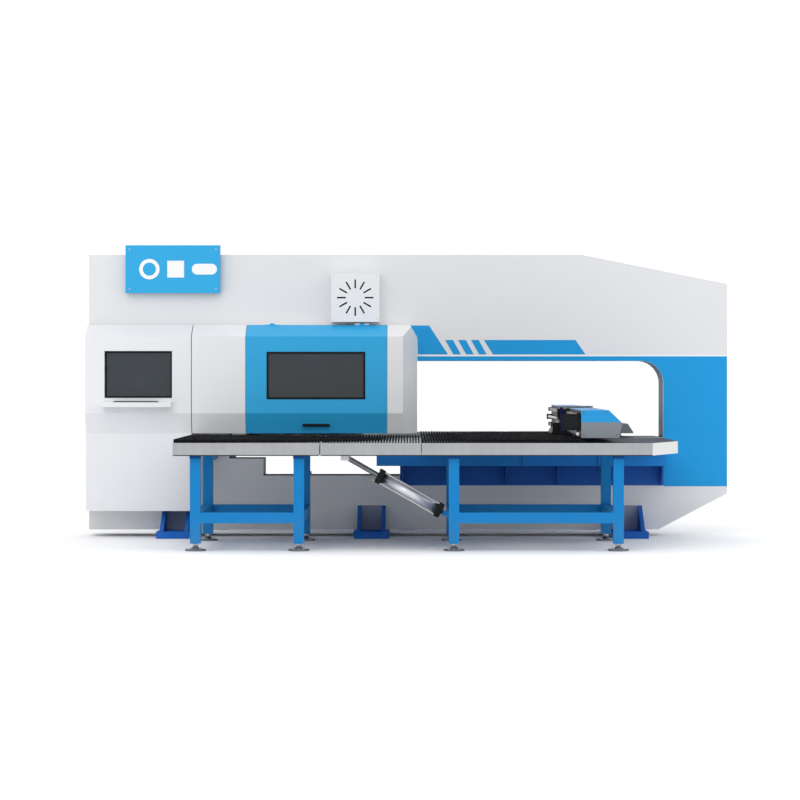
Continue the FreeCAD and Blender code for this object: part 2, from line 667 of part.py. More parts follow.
def build_turrets():
    zero = ORIGIN
    turret("upper", (s.upper_low, s.upper_top), (s.upper_low, s.upper_top))
    turret("lower", (s.lower_low, s.lower_top), (s.die_low, s.lower_top))
    punches = []
    dies = []
    for index, x, y in tool_places():
        if index == 0:
            keep(punch("working_punch", x, y))
        else:
            punches.append(punch(f"punch_{index}", x, y))
        dies.append(cut(f"die_{index}",
                        rod(f"die_body_{index}", "Z", (x, y), (s.die_low, s.die_top), s.die_radius),
                        rod(f"die_hole_{index}", "Z", (x, y), (s.die_low, s.die_top), s.die_hole)))
    keep(group("punch_set", *punches))
    keep(group("die_set", *dies))

    centre = (s.turret_centre, zero)
    keep(join(
        "upper_turret_shaft",
        rod("upper_flange", "Z", centre, (s.throat_top - s.flange_thick, s.throat_top), s.flange_radius),
        rod("upper_column", "Z", centre, (s.upper_top + s.run_gap, s.throat_top - s.flange_thick),
            s.shaft_radius),
        rod("upper_spindle", "Z", centre, (s.collar_low, s.upper_top + s.run_gap), s.spindle_radius),
        rod("upper_collar", "Z", centre, (s.collar_low, s.upper_low - s.run_gap), s.shaft_radius),
    ))
    keep(join(
        "lower_turret_shaft",
        rod("lower_flange", "Z", centre, (s.throat_low, s.throat_low + s.flange_thick), s.base_radius),
        rod("lower_column", "Z", centre, (s.throat_low + s.flange_thick, s.lower_low - s.run_gap),
            s.shaft_radius),
        rod("lower_spindle", "Z", centre, (s.lower_low - s.run_gap, s.lower_top), s.spindle_radius),
    ))


# Sheet tables: welded tube frames on levelling feet, folded trays on top, brushes on the trays.

def leg(name, x, y):
    half = s.leg_width / 2
    return box(name, (x - half, x + half), (y - half, y + half), (s.frame_low, s.table_low))


def rail_x(name, x_span, y, z_span):
    half = s.leg_width / 2
    return box(name, (x_span[0] - half, x_span[1] + half), (y - half, y + half), z_span)


def rail_y(name, x, y_span, z_span):
    half = s.leg_width / 2
    return box(name, (x - half, x + half), (y_span[0] - half, y_span[1] + half), z_span)


def table_frame(name, legs_x, legs_y, reach_x, extra=()):
    """Legs joined by a low ring of rails, with bearers under the tray."""
    low = (s.rail_low, s.rail_low + s.rail_side)
    high = (s.table_low, s.table_top - s.tray_wall)
    half = s.leg_width / 2
    pieces = []
    for i, x in enumerate(legs_x):
        for j, y in enumerate(legs_y):
            pieces.append(leg(f"{name}_leg_{i}{j}", x, y))
    for j, y in enumerate(legs_y):
        pieces.append(rail_x(f"{name}_low_rail_{j}", (legs_x[0], legs_x[-1]), y, low))
        pieces.append(box(f"{name}_bearer_{j}", reach_x, (y - half, y + half), high))
    for i in (0, len(legs_x) - 1):
        pieces.append(rail_y(f"{name}_side_rail_{i}", legs_x[i], (legs_y[0], legs_y[-1]), low))
        pieces.append(rail_y(f"{name}_side_bearer_{i}", legs_x[i], (legs_y[0], legs_y[-1]), high))
    return keep(join(name, *pieces, *extra))


def tray(name, points, *extra):
    shell = hollow(name + "_shell" if extra else name,
                   prism(name + "_block", "XY", points, (s.table_low, s.table_top)), s.tray_wall, DOWN)
    return keep(join(name, shell, *extra)) if extra else keep(shell)


def rectangle(x_span, y_span):
    return [(x_span[0], y_span[0]), (x_span[1], y_span[0]), (x_span[1], y_span[1]), (x_span[0], y_span[1])]


def brush_bed(name, x_span, y_span):
    """A base strip with upright brush strips at an even pitch, all one block."""
    body = doc.addObject("PartDesign::Body", name)
    base = body.newObject("PartDesign::Pad", name + "_base")
    base.Profile = sketch_outline(body, "XZ", rectangle(x_span, (s.table_top, s.table_top + s.brush_base)))
    base.Reversed = True
    bind(base, "Length", y_span[1] - y_span[0])
    strip = body.newObject("PartDesign::Pad", name + "_strip")
    first = x_span[0] + s.brush_margin
    strip.Profile = sketch_outline(body, "XZ", rectangle((first, first + s.brush_width),
                                                         (s.table_top + s.brush_base / 2, s.brush_top)))
    strip.Reversed = True
    bind(strip, "Length", y_span[1] - y_span[0])
    doc.recompute()
    room = x_span[1] - x_span[0] - s.brush_margin - s.brush_width
    count = int(float(room) / float(s.brush_pitch))
    rows = body.newObject("PartDesign::LinearPattern", name + "_rows")
    rows.Originals = [strip]
    rows.Direction = (strip.Profile[0], ["H_Axis"])
    bind(rows, "Length", s.brush_pitch * count)
    rows.Occurrences = count + 1
    body.Tip = rows
    bind(body, "Placement.Base.y", y_span[0])
    return body


def foot(name, x, y):
    return join(
        name,
        rod(name + "_pad", "Z", (x, y), (ORIGIN, s.pad_thick), s.pad_radius),
        cone(name + "_cone", (x, y), (s.pad_thick, s.cone_top), s.pad_radius * 0.45, s.stem_radius * 1.5),
        rod(name + "_stem", "Z", (x, y), (s.cone_top, s.frame_low), s.stem_radius),
    )


def base_clevis():
    """Two lugs on the right table's side rail that hold the cylinder's lower pin."""
    half = s.eye_width / 2 + s.lug_gap
    plate_x = s.leg_three - s.leg_width / 2
    pieces = []
    for side, start in (("near", -half - s.lug_thick), ("far", half)):
        line = s.cylinder_line + start
        pieces.append(box("clevis_lug_" + side, (s.base_pin_x - s.base_eye, plate_x),
                          (line, line + s.lug_thick),
                          (s.base_pin_height - s.base_eye, s.base_pin_height + s.base_eye)))
    pieces.append(box("clevis_plate", (plate_x - s.tray_wall, plate_x),
                      (s.cylinder_line - half - s.lug_thick, s.cylinder_line + half + s.lug_thick),
                      (s.rail_low, s.base_pin_height + s.base_eye)))
    pieces.append(rod("clevis_pin", "Y", (s.base_pin_x, s.base_pin_height),
                      (s.cylinder_line - half - s.lug_thick, s.cylinder_line + half + s.lug_thick),
                      s.base_pin_radius))
    return pieces


def chute_hinge_places():
    return -s.leg_front + s.leg_width * 2, -s.leg_rear - s.leg_width


def build_tables():
    end = s.table_end - s.band_thick
    low, high = s.table_low, s.table_top
    left_edge = s.chute_left - s.seam_gap
    right_edge = s.chute_right + s.seam_gap
    inset = s.tray_wall + s.beam_inset
    front_rows = (-s.leg_front, -s.leg_rear)
    rear_rows = (s.leg_rear, s.leg_front)

    half = s.leg_width / 2
    tie = box("left_table_tie", (s.leg_one - half, s.leg_one + half), (half - s.leg_rear, -half_depth),
              (s.table_low - s.leg_width, s.table_low))
    table_frame("left_table_frame", (s.leg_one, s.leg_two), front_rows,
                (s.table_left + inset, left_edge - inset), (tie,))
    table_frame("right_table_frame", (s.leg_three, s.leg_four), front_rows,
                (right_edge + inset, s.table_corner - inset), base_clevis())
    table_frame("rear_table_frame", (s.leg_one, s.rear_leg_two, s.leg_four), rear_rows,
                (s.table_left + inset, s.rear_right - inset))

    feet = []
    for i, x in enumerate((s.leg_one, s.leg_two, s.leg_three, s.leg_four)):
        for j, y in enumerate(front_rows):
            feet.append(foot(f"front_foot_{i}{j}", x, y))
    for i, x in enumerate((s.leg_one, s.rear_leg_two, s.leg_four)):
        for j, y in enumerate(rear_rows):
            feet.append(foot(f"rear_foot_{i}{j}", x, y))
    keep(group("levelling_feet", *feet))

    tray("left_table_tray", rectangle((s.table_left, left_edge), (-end, -s.table_inner)))

    # hinge brackets and pins for the chute, on the right table's edge
    pins = []
    for index, start in enumerate(chute_hinge_places()):
        pins.append(rod(f"chute_pin_{index}", "Y",
                        (s.chute_right - s.chute_hinge_inset, s.chute_hinge_height),
                        (start, start + s.leg_width), s.chute_pin_radius))
        pins.append(box(f"chute_pin_plate_{index}", (s.chute_right - s.chute_hinge_inset, right_edge),
                        (start, start + s.tray_wall),
                        (s.table_low, s.chute_hinge_height + s.chute_pin_radius)))
    right_points = [
        (right_edge, -end), (s.table_corner, -end), (s.table_right, -s.corner_start),
        (s.table_right, -s.slot_far), (right_edge, -s.slot_far),
    ]
    tray("right_table_tray", right_points, *pins)

    half = s.post_width / 2
    posts = []
    for index, x in enumerate((s.leg_three, (s.leg_three + s.leg_four) / 2, s.leg_four)):
        posts.append(box(f"centre_post_{index}", (x - half, x + half), (-half, half),
                         (s.throat_low, s.table_top - s.tray_wall)))
    tray("centre_table_tray", rectangle((s.centre_left, s.throat_right - s.seam_gap),
                                        (-s.slot_near, s.slot_near)), *posts)

    rear_points = [
        (s.table_left, s.table_inner), (right_edge, s.table_inner), (right_edge, s.slot_far),
        (s.table_right, s.slot_far), (s.table_right - s.rear_corner, s.rear_plate),
        (s.rear_right, s.rear_plate), (s.rear_right, s.table_end), (s.table_left, s.table_end),
    ]
    tray("rear_table_tray", rear_points)

    keep(brush_bed("left_brush_bed", (s.table_left, left_edge), (-end, -s.table_inner)))
    keep(brush_bed("right_brush_bed", (right_edge, s.brush_right), (-end, -s.slot_far)))
    keep(group("inner_brush_beds",
               brush_bed("centre_brushes", (right_edge, s.brush_right), (-s.slot_near, s.slot_near)),
               brush_bed("rear_brushes", (right_edge, s.brush_right), (s.slot_far, s.brush_end))))

    front = (-s.table_end, -end)
    keep(group("front_bands",
               box("left_band", (s.table_left, left_edge), front, (low, high)),
               box("right_band", (right_edge, s.table_corner), front, (low, high))))


# Tilting chute: the middle table section, hinged at its right end and held by a cylinder.

def build_chute():
    end = s.table_end - s.band_thick
    left = s.chute_left + s.seam_gap / 2
    right = s.chute_right
    half = s.eye_width / 2 + s.lug_gap
    shell = hollow("chute_shell", prism("chute_block", "XY",
                                        rectangle((left, right), (-end, -s.table_inner)),
                                        (s.table_low, s.table_top)), s.tray_wall, DOWN)
    lugs = []
    for side, start in (("near", -half - s.lug_thick), ("far", half)):
        line = s.cylinder_line + start
        lugs.append(box("rod_lug_" + side, (s.rod_pin_x - s.eye_radius, s.rod_pin_x + s.eye_radius),
                        (line, line + s.lug_thick),
                        (s.rod_pin_height - s.eye_radius, s.table_top - s.tray_wall)))
    lugs.append(rod("rod_pin", "Y", (s.rod_pin_x, s.rod_pin_height),
                    (s.cylinder_line - half - s.lug_thick, s.cylinder_line + half + s.lug_thick),
                    s.pivot_radius))
    clear = []
    for index, start in enumerate(chute_hinge_places()):
        clear.append(rod(f"hinge_clear_{index}", "Y",
                         (s.chute_right - s.chute_hinge_inset, s.chute_hinge_height),
                         (start - s.tray_wall, start + s.leg_width + s.tray_wall),
                         s.chute_pin_radius + s.tray_wall))
        clear.append(box(f"hinge_slot_{index}",
                         (s.chute_right - s.chute_hinge_inset, s.chute_right),
                         (start - s.tray_wall, start + s.leg_width + s.tray_wall),
                         (s.table_low, s.chute_hinge_height + s.chute_pin_radius + s.tray_wall)))
    cheeks = []
    for index, start in enumerate(chute_hinge_places()):
        line = start + s.leg_width / 2
        cheek = box(f"hinge_cheek_{index}",
                    (s.chute_right - s.chute_hinge_inset * 3, s.chute_right - s.tray_wall),
                    (line, line + s.tray_wall), (s.table_low, s.table_top - s.tray_wall))
        cheeks.append(cheek)
    bores = []
    for index, start in enumerate(chute_hinge_places()):
        line = start + s.leg_width / 2
        bores.append(rod(f"hinge_bore_{index}", "Y",
                         (s.chute_right - s.chute_hinge_inset, s.chute_hinge_height),
                         (line - s.wall, line + s.tray_wall + s.wall), s.chute_pin_radius + s.run_gap))
    skin = cut("chute_skin", join("chute_weld", shell, *lugs), *clear)
    keep(cut("chute_tray", join("chute_with_cheeks", skin, *cheeks), *bores))
    keep(box("chute_band", (left, right), (-s.table_end, -end), (s.table_low, s.table_top)))
    keep(brush_bed("chute_brush_bed", (left + s.brush_margin, right - s.brush_margin),
                   (-end, -s.table_inner)))


def lay_along_cylinder(item):
    """Turns a piece drawn along +X at the origin onto the line from the base pin to the rod pin."""
    rise = float(s.rod_pin_height - s.base_pin_height)
    run = float(s.rod_pin_x - s.base_pin_x)
    angle = math.degrees(math.atan2(rise, run))
    item.Placement = FreeCAD.Placement(FreeCAD.Vector(), FreeCAD.Rotation(FreeCAD.Vector(0, -1, 0), angle))
    put(item, s.base_pin_x, s.cylinder_line, s.base_pin_height)
    return item


def build_cylinder():
    zero = ORIGIN
    start = s.base_eye * 1.5
    front_head = start + s.head_thick + s.barrel_length
    half = s.eye_width / 2
    square = (-s.head_half, s.head_half)
    pieces = [
        rod("eye", "Y", (zero, zero), (-half, half), s.base_eye),
        box("eye_neck", (zero, start), (-half, half), (-s.base_eye, s.base_eye)),
        box("rear_head", (start, start + s.head_thick), square, square),
        rod("barrel", "X", (zero, zero), (start + s.head_thick, front_head), s.barrel_radius),
        box("front_head", (front_head, front_head + s.head_thick), square, square),
    ]
    offset = s.head_half * 0.8
    for index, (y, z) in enumerate([(-1, -1), (-1, 1), (1, -1), (1, 1)]):
        pieces.append(rod(f"tie_{index}", "X", (offset * y, offset * z), (start, front_head + s.head_thick),
                          s.tie_radius))
    bores = [
        rod("eye_bore", "Y", (zero, zero), (-half, half), s.base_pin_radius + s.run_gap),
        rod("rod_bore", "X", (zero, zero), (start + s.head_thick * 2, front_head + s.head_thick),
            s.rod_radius + s.run_gap),
    ]
    keep(lay_along_cylinder(cut("cylinder_barrel", join("barrel_weld", *pieces), *bores)))

    rise = float(s.rod_pin_height - s.base_pin_height)
    run = float(s.rod_pin_x - s.base_pin_x)
    length = Size(math.hypot(rise, run), f"sqrt(({(s.rod_pin_height - s.base_pin_height).formula})^2"
                                         f" + ({(s.rod_pin_x - s.base_pin_x).formula})^2)")
    reach = length - s.eye_radius
    rod_pieces = join(
        "rod_weld",
        rod("rod_shaft", "X", (zero, zero), (front_head - s.barrel_length / 2, reach), s.rod_radius),
        rod("rod_eye", "Y", (length, zero), (-half, half), s.eye_radius),
        box("rod_neck", (reach - s.eye_radius / 2, length), (-half, half), (-s.rod_radius, s.rod_radius)),
    )
    slack = rod("rod_eye_bore", "Y", (length, zero), (-half, half), s.pivot_radius + s.eye_slack)
    keep(lay_along_cylinder(cut("cylinder_rod", rod_pieces, slack)))


# Feed beam, moving along X on the two shelves.

def cover_points(grow):
    return [
        (s.beam_left, s.cover_low), (s.beam_left, s.beam_top + grow),
        (s.cover_shelf, s.beam_top + grow), (s.cover_edge, s.cover_knee), (s.cover_foot, s.cover_low),
    ]


def build_beam():
    across = (s.beam_left, s.beam_left + s.beam_width)
    block = box("beam_block", across, (-s.beam_end, s.beam_end), (s.beam_low, s.beam_top))
    tube = hollow("beam_tube", block, s.beam_wall, FRONT, BACK)
    supports = []
    for side, start in (("front", -s.beam_end), ("rear", s.beam_end - s.feed_support)):
        body = box(f"y_support_{side}_body", (s.carriage_left + s.carriage_plate, s.beam_left),
                   (start, start + s.feed_support),
                   (s.feed_screw_height - s.feed_screw_out, s.feed_screw_height + s.feed_screw_out))
        bore = rod(f"y_support_{side}_bore", "Y", (s.beam_left - s.feed_screw_out, s.feed_screw_height),
                   (start, start + s.feed_support), s.feed_screw_radius + s.run_gap)
        supports.append(cut(f"y_support_{side}", body, bore))
    keep(join("cross_beam", tube, *supports))

    span = (-s.beam_end, s.beam_end)
    outer = prism("cover_outer", "XZ", cover_points(s.cover_thick), span)
    shell = hollow("cover_shell", outer, s.cover_thick, FRONT, BACK, DOWN)
    keep_clear = box("cover_inside",
                     (s.beam_left - s.wall, s.beam_left + s.beam_width + s.run_gap), span,
                     (s.cover_low, s.beam_top))
    notch = box("saddle_notch", (across[1], s.saddle_right),
                (-s.saddle_half - s.wall, s.saddle_half + s.wall),
                (s.cover_low, s.saddle_top + s.wall))
    keep(cut("beam_cover", shell, keep_clear, notch))

    caps = []
    for side, start in (("front", -s.beam_end - s.cap_thick), ("rear", s.beam_end)):
        caps.append(prism(side + "_cap", "XZ", cover_points(s.cover_thick), (start, start + s.cap_thick)))
    keep(group("beam_end_covers", *caps))

    feet = []
    for side, span_y in (("front", (-s.foot_far, -s.foot_near)), ("rear", (s.foot_near, s.foot_far))):
        feet.append(box(f"saddle_foot_{side}", (s.foot_left, s.foot_right), span_y,
                        (s.block_top, s.beam_low)))
    profile = [(across[1], s.saddle_low), (s.saddle_right, s.saddle_low),
               (s.saddle_right, s.saddle_top - s.saddle_slope_drop),
               (s.saddle_right - s.saddle_slope_run, s.saddle_top), (across[1], s.saddle_top)]
    side_block = prism("saddle_block", "XZ", profile, (-s.saddle_half, s.saddle_half))
    nut_half = s.nut_width / 2
    nut = cut("screw_nut",
              box("nut_body", (s.nut_left, s.nut_left + s.nut_length),
                  (s.screw_line - nut_half, s.screw_line + nut_half),
                  (s.screw_height * 2 - s.block_top + s.wall, s.block_top)),
              rod("nut_bore", "X", (s.screw_line, s.screw_height), (s.nut_left, s.nut_left + s.nut_length),
                  s.screw_radius + s.run_gap))
    keep(join("saddle", side_block, nut, *feet))

    blocks = []
    for side, line in (("front", -s.rail_line), ("rear", s.rail_line)):
        for index, start in enumerate((s.foot_left + s.wall, s.foot_right - s.block_length - s.wall)):
            name = f"{side}_block_{index}"
            body = box(name + "_body", (start, start + s.block_length),
                       (line - s.block_width / 2, line + s.block_width / 2),
                       (s.shelf_top + s.rail_high / 4, s.block_top))
            groove = box(name + "_groove", (start, start + s.block_length),
                         (line - s.rail_width / 2 - s.run_gap, line + s.rail_width / 2 + s.run_gap),
                         (s.shelf_top, s.shelf_top + s.rail_high + s.run_gap))
            blocks.append(cut(name, body, groove))
    keep(group("rail_blocks", *blocks))


def build_x_drive():
    """Ball screw beside the rear rail; its motor stands past the shelf's end."""
    last = s.shelf_right - s.wall
    keep(rod("x_ball_screw", "X", (s.screw_line, s.screw_height),
             (s.screw_left, last), s.screw_radius))
    side = s.motor_side / 2
    keep(box("x_servo_motor", (s.shelf_right, s.shelf_right + s.motor_long),
             (s.screw_line - side, s.screw_line + side), (s.screw_height - side, s.screw_height + side)))


# Carriage, moving along Y on the beam's left face.

def build_carriage():
    near = s.carriage_rest - s.carriage_half
    far = s.carriage_rest + s.carriage_half
    face = s.beam_left
    guides = []
    blocks = []
    for level, z in (("lower", s.guide_lower), ("upper", s.guide_upper)):
        guides.append(box(level + "_guide", (face - s.guide_high, face), (-s.beam_end, s.beam_end),
                          (z - s.guide_width / 2, z + s.guide_width / 2)))
        for index, start in enumerate((near, far - s.guide_block)):
            name = f"{level}_runner_{index}"
            body = box(name + "_body", (s.carriage_left + s.carriage_plate, face - s.guide_high / 4),
                       (start, start + s.guide_block), (z - s.guide_width, z + s.guide_width))
            groove = box(name + "_groove", (face - s.guide_high - s.run_gap, face),
                         (start, start + s.guide_block),
                         (z - s.guide_width / 2 - s.run_gap, z + s.guide_width / 2 + s.run_gap))
            blocks.append(cut(name, body, groove))
    keep(group("y_rails", *guides))

    plate = box("carriage_face", (s.carriage_left, s.carriage_left + s.carriage_plate), (near, far),
                (s.carriage_low, s.carriage_top))
    slab = box("carriage_slab", (s.carriage_left, s.slab_right), (near, far), (s.slab_low, s.carriage_top))
    keep(join("carriage", plate, slab, *blocks))

    centre = (face - s.feed_screw_out, s.feed_screw_height)
    keep(rod("y_ball_screw", "Y", centre, (-s.beam_end, s.beam_end), s.feed_screw_radius))


def build_clamps():
    right = s.carriage_left
    left = right - s.clamp_body
    pin_x = right - s.jaw_pin_out
    jaw_half = s.jaw_width / 2
    bodies = []
    lines = (("front", s.carriage_rest - s.clamp_spacing / 2),
             ("rear", s.carriage_rest + s.clamp_spacing / 2))
    for side, line in lines:
        half = s.clamp_width / 2
        name = side + "_clamp"
        body = box(name + "_body", (left, right), (line - half, line + half), (s.clamp_low, s.clamp_high))
        lip = box(name + "_lip", (right - s.clamp_reach, right), (line - half, line + half),
                  (s.clamp_low, s.clamp_low + s.clamp_lip))
        slot = box(name + "_slot", (left, right - s.jaw_arm / 2),
                   (line - jaw_half - s.lug_gap, line + jaw_half + s.lug_gap),
                   (s.clamp_low + s.clamp_lip, s.clamp_high))
        pin = rod(name + "_pin", "Y", (pin_x, s.jaw_pin_height), (line - half, line + half),
                  s.jaw_pin_radius)
        bodies.append(join(name, cut(name + "_housing", join(name + "_weld", body, lip), slot), pin))

        tip = right - s.clamp_reach
        jaw_low = s.clamp_low + s.clamp_lip + s.jaw_gap
        profile = [(tip, jaw_low), (tip + s.jaw_arm, jaw_low), (left, s.jaw_pin_height - s.jaw_arm),
                   (pin_x, s.jaw_pin_height - s.jaw_arm), (pin_x + s.jaw_arm, s.jaw_pin_height),
                   (pin_x, s.jaw_pin_height + s.jaw_arm), (left, s.jaw_pin_height + s.jaw_arm),
                   (tip, jaw_low + s.jaw_arm)]
        arm = prism(side + "_jaw_arm", "XZ", profile, (line - jaw_half, line + jaw_half))
        bore = rod(side + "_jaw_bore", "Y", (pin_x, s.jaw_pin_height), (line - jaw_half, line + jaw_half),
                   s.jaw_pin_radius + s.run_gap)
        keep(cut(f"clamp_jaw_{side}", arm, bore))
    keep(group("clamp_bodies", *bodies))


def check_and_write():
    doc.recompute()
    for item in doc.Objects:
        if "Invalid" in item.State or "Error" in item.State:
            raise RuntimeError(f"{item.Label} did not build: {item.State}")
    for item in NODES:
        if item.Shape.isNull() or not item.Shape.isValid() or not item.Shape.Solids:
            raise RuntimeError(f"{item.Label} has no valid solid")
        if item.Label != item.Name:
            raise RuntimeError(f"{item.Label} is not the only piece of that name")
    os.makedirs("parts", exist_ok=True)
    for item in NODES:
        item.Shape.exportStep(f"parts/{item.Label}.step")
        print(item.Label, len(item.Shape.Solids), round(item.Shape.Volume))


build_frame()
build_brackets()
build_shelves()
build_control_station()
build_guards()
build_door()
build_board_and_vent()
build_drive()
build_turrets()
build_tables()
build_chute()
build_cylinder()
build_beam()
build_x_drive()
build_carriage()
build_clamps()
check_and_write()
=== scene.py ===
import math

import bmesh
import bpy
from mathutils import Matrix, Vector


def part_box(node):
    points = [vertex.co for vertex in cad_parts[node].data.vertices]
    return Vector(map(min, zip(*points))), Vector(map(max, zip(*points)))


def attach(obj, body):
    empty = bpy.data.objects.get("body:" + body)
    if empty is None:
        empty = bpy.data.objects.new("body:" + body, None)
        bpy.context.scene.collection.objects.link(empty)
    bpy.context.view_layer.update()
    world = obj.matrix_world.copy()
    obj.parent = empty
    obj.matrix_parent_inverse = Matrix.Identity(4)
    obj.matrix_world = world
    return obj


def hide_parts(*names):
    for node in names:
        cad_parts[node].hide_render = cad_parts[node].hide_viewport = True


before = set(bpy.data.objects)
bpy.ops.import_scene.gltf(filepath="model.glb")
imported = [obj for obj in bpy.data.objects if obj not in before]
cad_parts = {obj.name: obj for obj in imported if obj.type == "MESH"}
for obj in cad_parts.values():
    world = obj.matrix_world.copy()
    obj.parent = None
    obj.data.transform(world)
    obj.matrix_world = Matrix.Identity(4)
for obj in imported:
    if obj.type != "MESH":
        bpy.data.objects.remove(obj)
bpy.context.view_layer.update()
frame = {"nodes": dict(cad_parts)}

bl_info = {
    "name": "Turret Punch Press",
    "version": (1, 0, 0),
    "blender": (4, 5, 0),
    "location": "View3D > Sidebar > Punch Press",
    "description": "Finishes, brushes, trim and studio for a servo turret punch press",
    "category": "Object",
}

MM = 0.001
DECAL = 0.8 * MM

FRAME_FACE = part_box("frame_front_plate")[0].y
FRAME_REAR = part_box("frame_rear_plate")[1].y
FRAME_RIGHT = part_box("frame_front_plate")[1].x
TABLE_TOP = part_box("left_table_tray")[1].z
BRUSH_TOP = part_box("left_brush_bed")[1].z

# Where the table legs stand
FRONT_LEGS = (-1.632, -0.838, 0.353, 1.615)
REAR_LEGS = (-1.632, 0.0, 1.615)
LEG_NEAR = 0.957
LEG_FAR = 2.502


# Settings a user would change

def colour(name, description, default):
    return bpy.props.FloatVectorProperty(
        name=name, description=description, default=default, size=3, min=0.0, max=1.0, subtype="COLOR")


def length(name, description, default):
    return bpy.props.FloatProperty(
        name=name, description=description, default=default, min=0.0, subtype="DISTANCE", unit="LENGTH")


class PressPaints(bpy.types.PropertyGroup):
    frame: colour("Frame", "Off-white paint of the frame plates", (0.70, 0.705, 0.72))
    guard: colour("Guards", "White paint of the sheet-metal guards", (0.75, 0.76, 0.78))
    door: colour("Door", "Light blue of the door and the name board", (0.028, 0.37, 0.70))
    stripe: colour("Stripe", "Blue of the stripe and the column on the frame", (0.014, 0.30, 0.66))
    leg: colour("Table legs", "Blue of the table frames", (0.006, 0.195, 0.50))
    bracket: colour("Brackets", "Deep blue of the anchor brackets", (0.003, 0.12, 0.50))
    beam: colour("Feed beam", "Blue of the feed beam's cover", (0.014, 0.27, 0.60))


class BrushSizes(bpy.types.PropertyGroup):
    strip_pitch: length("Strip pitch", "Distance from one brush strip to the next", 22.6 * MM)
    strip_width: length("Strip width", "Width of a strip's holder", 9 * MM)
    tuft_pitch: length("Tuft pitch", "Distance between tufts along a strip", 22 * MM)
    tuft_radius: length("Tuft radius", "Radius of a tuft at its tips", 5.2 * MM)
    holder_height: length("Holder height", "Height of a strip's holder", 7 * MM)


class TrimSizes(bpy.types.PropertyGroup):
    screw_radius: length("Screw radius", "Radius of a beam cover screw's head", 6 * MM)
    screw_height: length("Screw height", "How far a beam cover screw stands out", 2 * MM)
    seal_width: length("Seal width", "Width of the rubber seal round the door window", 16 * MM)


class StudioLight(bpy.types.PropertyGroup):
    key_power: bpy.props.FloatProperty(
        name="Key light", description="Power of the large soft light in front", default=520.0, min=0.0,
        unit="POWER")
    fill_power: bpy.props.FloatProperty(
        name="Fill light", description="Power of each soft light, on the right and behind", default=170.0,
        min=0.0, unit="POWER")
    sky: bpy.props.FloatProperty(
        name="Sky", description="Strength of the even light from all round", default=1.05, min=0.0)


# Shader groups and materials

def node_tree_group(name, inputs, outputs):
    """An empty shader group with its sockets; returns the group, its inputs and its outputs."""
    group = bpy.data.node_groups.new(name, "ShaderNodeTree")
    for label, kind, default in inputs:
        socket = group.interface.new_socket(label, in_out="INPUT", socket_type=kind)
        socket.default_value = default
    for label, kind in outputs:
        group.interface.new_socket(label, in_out="OUTPUT", socket_type=kind)
    return group, group.nodes.new("NodeGroupInput"), group.nodes.new("NodeGroupOutput")


def add_node(tree, kind, settings=(), **links):
    """A node with its settings, and its named inputs linked or set."""
    node = tree.nodes.new(kind)
    for key, value in dict(settings).items():
        setattr(node, key, value)
    for key, value in links.items():
        socket = node.inputs[int(key[1:])] if key[0] == "i" and key[1:].isdigit() else node.inputs[key]
        if isinstance(value, bpy.types.NodeSocket):
            tree.links.new(value, socket)
        else:
            socket.default_value = value
    return node


def noise(tree, place, scale, detail=2.0):
    node = add_node(tree, "ShaderNodeTexNoise", Vector=place, Scale=scale, Detail=detail)
    return node.outputs["Fac"]


def remap(tree, value, low, high, to_low, to_high):
    node = add_node(tree, "ShaderNodeMapRange", i0=value, i1=low, i2=high, i3=to_low, i4=to_high)
    return node.outputs[0]


def math_node(tree, operation, a, b=0.0):
    return add_node(tree, "ShaderNodeMath", {"operation": operation}, i0=a, i1=b).outputs[0]


def mix_colour(tree, factor, a, b, blend="MIX"):
    node = tree.nodes.new("ShaderNodeMix")
    node.data_type = "RGBA"
    node.blend_type = blend
    for index, value in ((0, factor), (6, a), (7, b)):
        if isinstance(value, bpy.types.NodeSocket):
            tree.links.new(value, node.inputs[index])
        else:
            node.inputs[index].default_value = value
    return node.outputs[2]


def coat_group():
    """Powder coat: orange peel, slow drift in tone, handling marks and floor dust."""
    group, given, made = node_tree_group(
        "powder_coat",
        (("Tone", "NodeSocketColor", (0.5, 0.5, 0.5, 1.0)), ("Drift", "NodeSocketFloat", 0.05),
         ("Roughness", "NodeSocketFloat", 0.4), ("Peel", "NodeSocketFloat", 260.0),
         ("Dust height", "NodeSocketFloat", 0.35), ("Dust", "NodeSocketFloat", 0.25)),
        (("Colour", "NodeSocketColor"), ("Roughness", "NodeSocketFloat"), ("Height", "NodeSocketFloat")))
    place = add_node(group, "ShaderNodeTexCoord").outputs["Object"]
    slow = noise(group, place, 1.6, 3.0)
    drift = math_node(group, "MULTIPLY", math_node(group, "SUBTRACT", slow, 0.5), given.outputs["Drift"])
    value = math_node(group, "ADD", drift, 1.0)
    toned = add_node(group, "ShaderNodeHueSaturation", Value=value, Color=given.outputs["Tone"]).outputs[0]
    height = add_node(group, "ShaderNodeSeparateXYZ", Vector=place).outputs["Z"]
    low = remap(group, math_node(group, "DIVIDE", height, given.outputs["Dust height"]), 0.0, 1.0, 1.0, 0.0)
    patches = remap(group, noise(group, place, 7.0, 6.0), 0.35, 0.75, 0.2, 1.0)
    dust = math_node(group, "MULTIPLY", math_node(group, "MULTIPLY", low, patches), given.outputs["Dust"])
    dusted = mix_colour(group, dust, toned, (0.30, 0.29, 0.27, 1.0))
    marks = remap(group, noise(group, place, 22.0, 8.0), 0.55, 0.8, 0.0, 0.14)
    rough = math_node(group, "ADD", math_node(group, "ADD", given.outputs["Roughness"], marks), dust)
    peel = noise(group, place, given.outputs["Peel"], 1.0)
    group.links.new(dusted, made.inputs["Colour"])
    group.links.new(rough, made.inputs["Roughness"])
    group.links.new(peel, made.inputs["Height"])
    return group


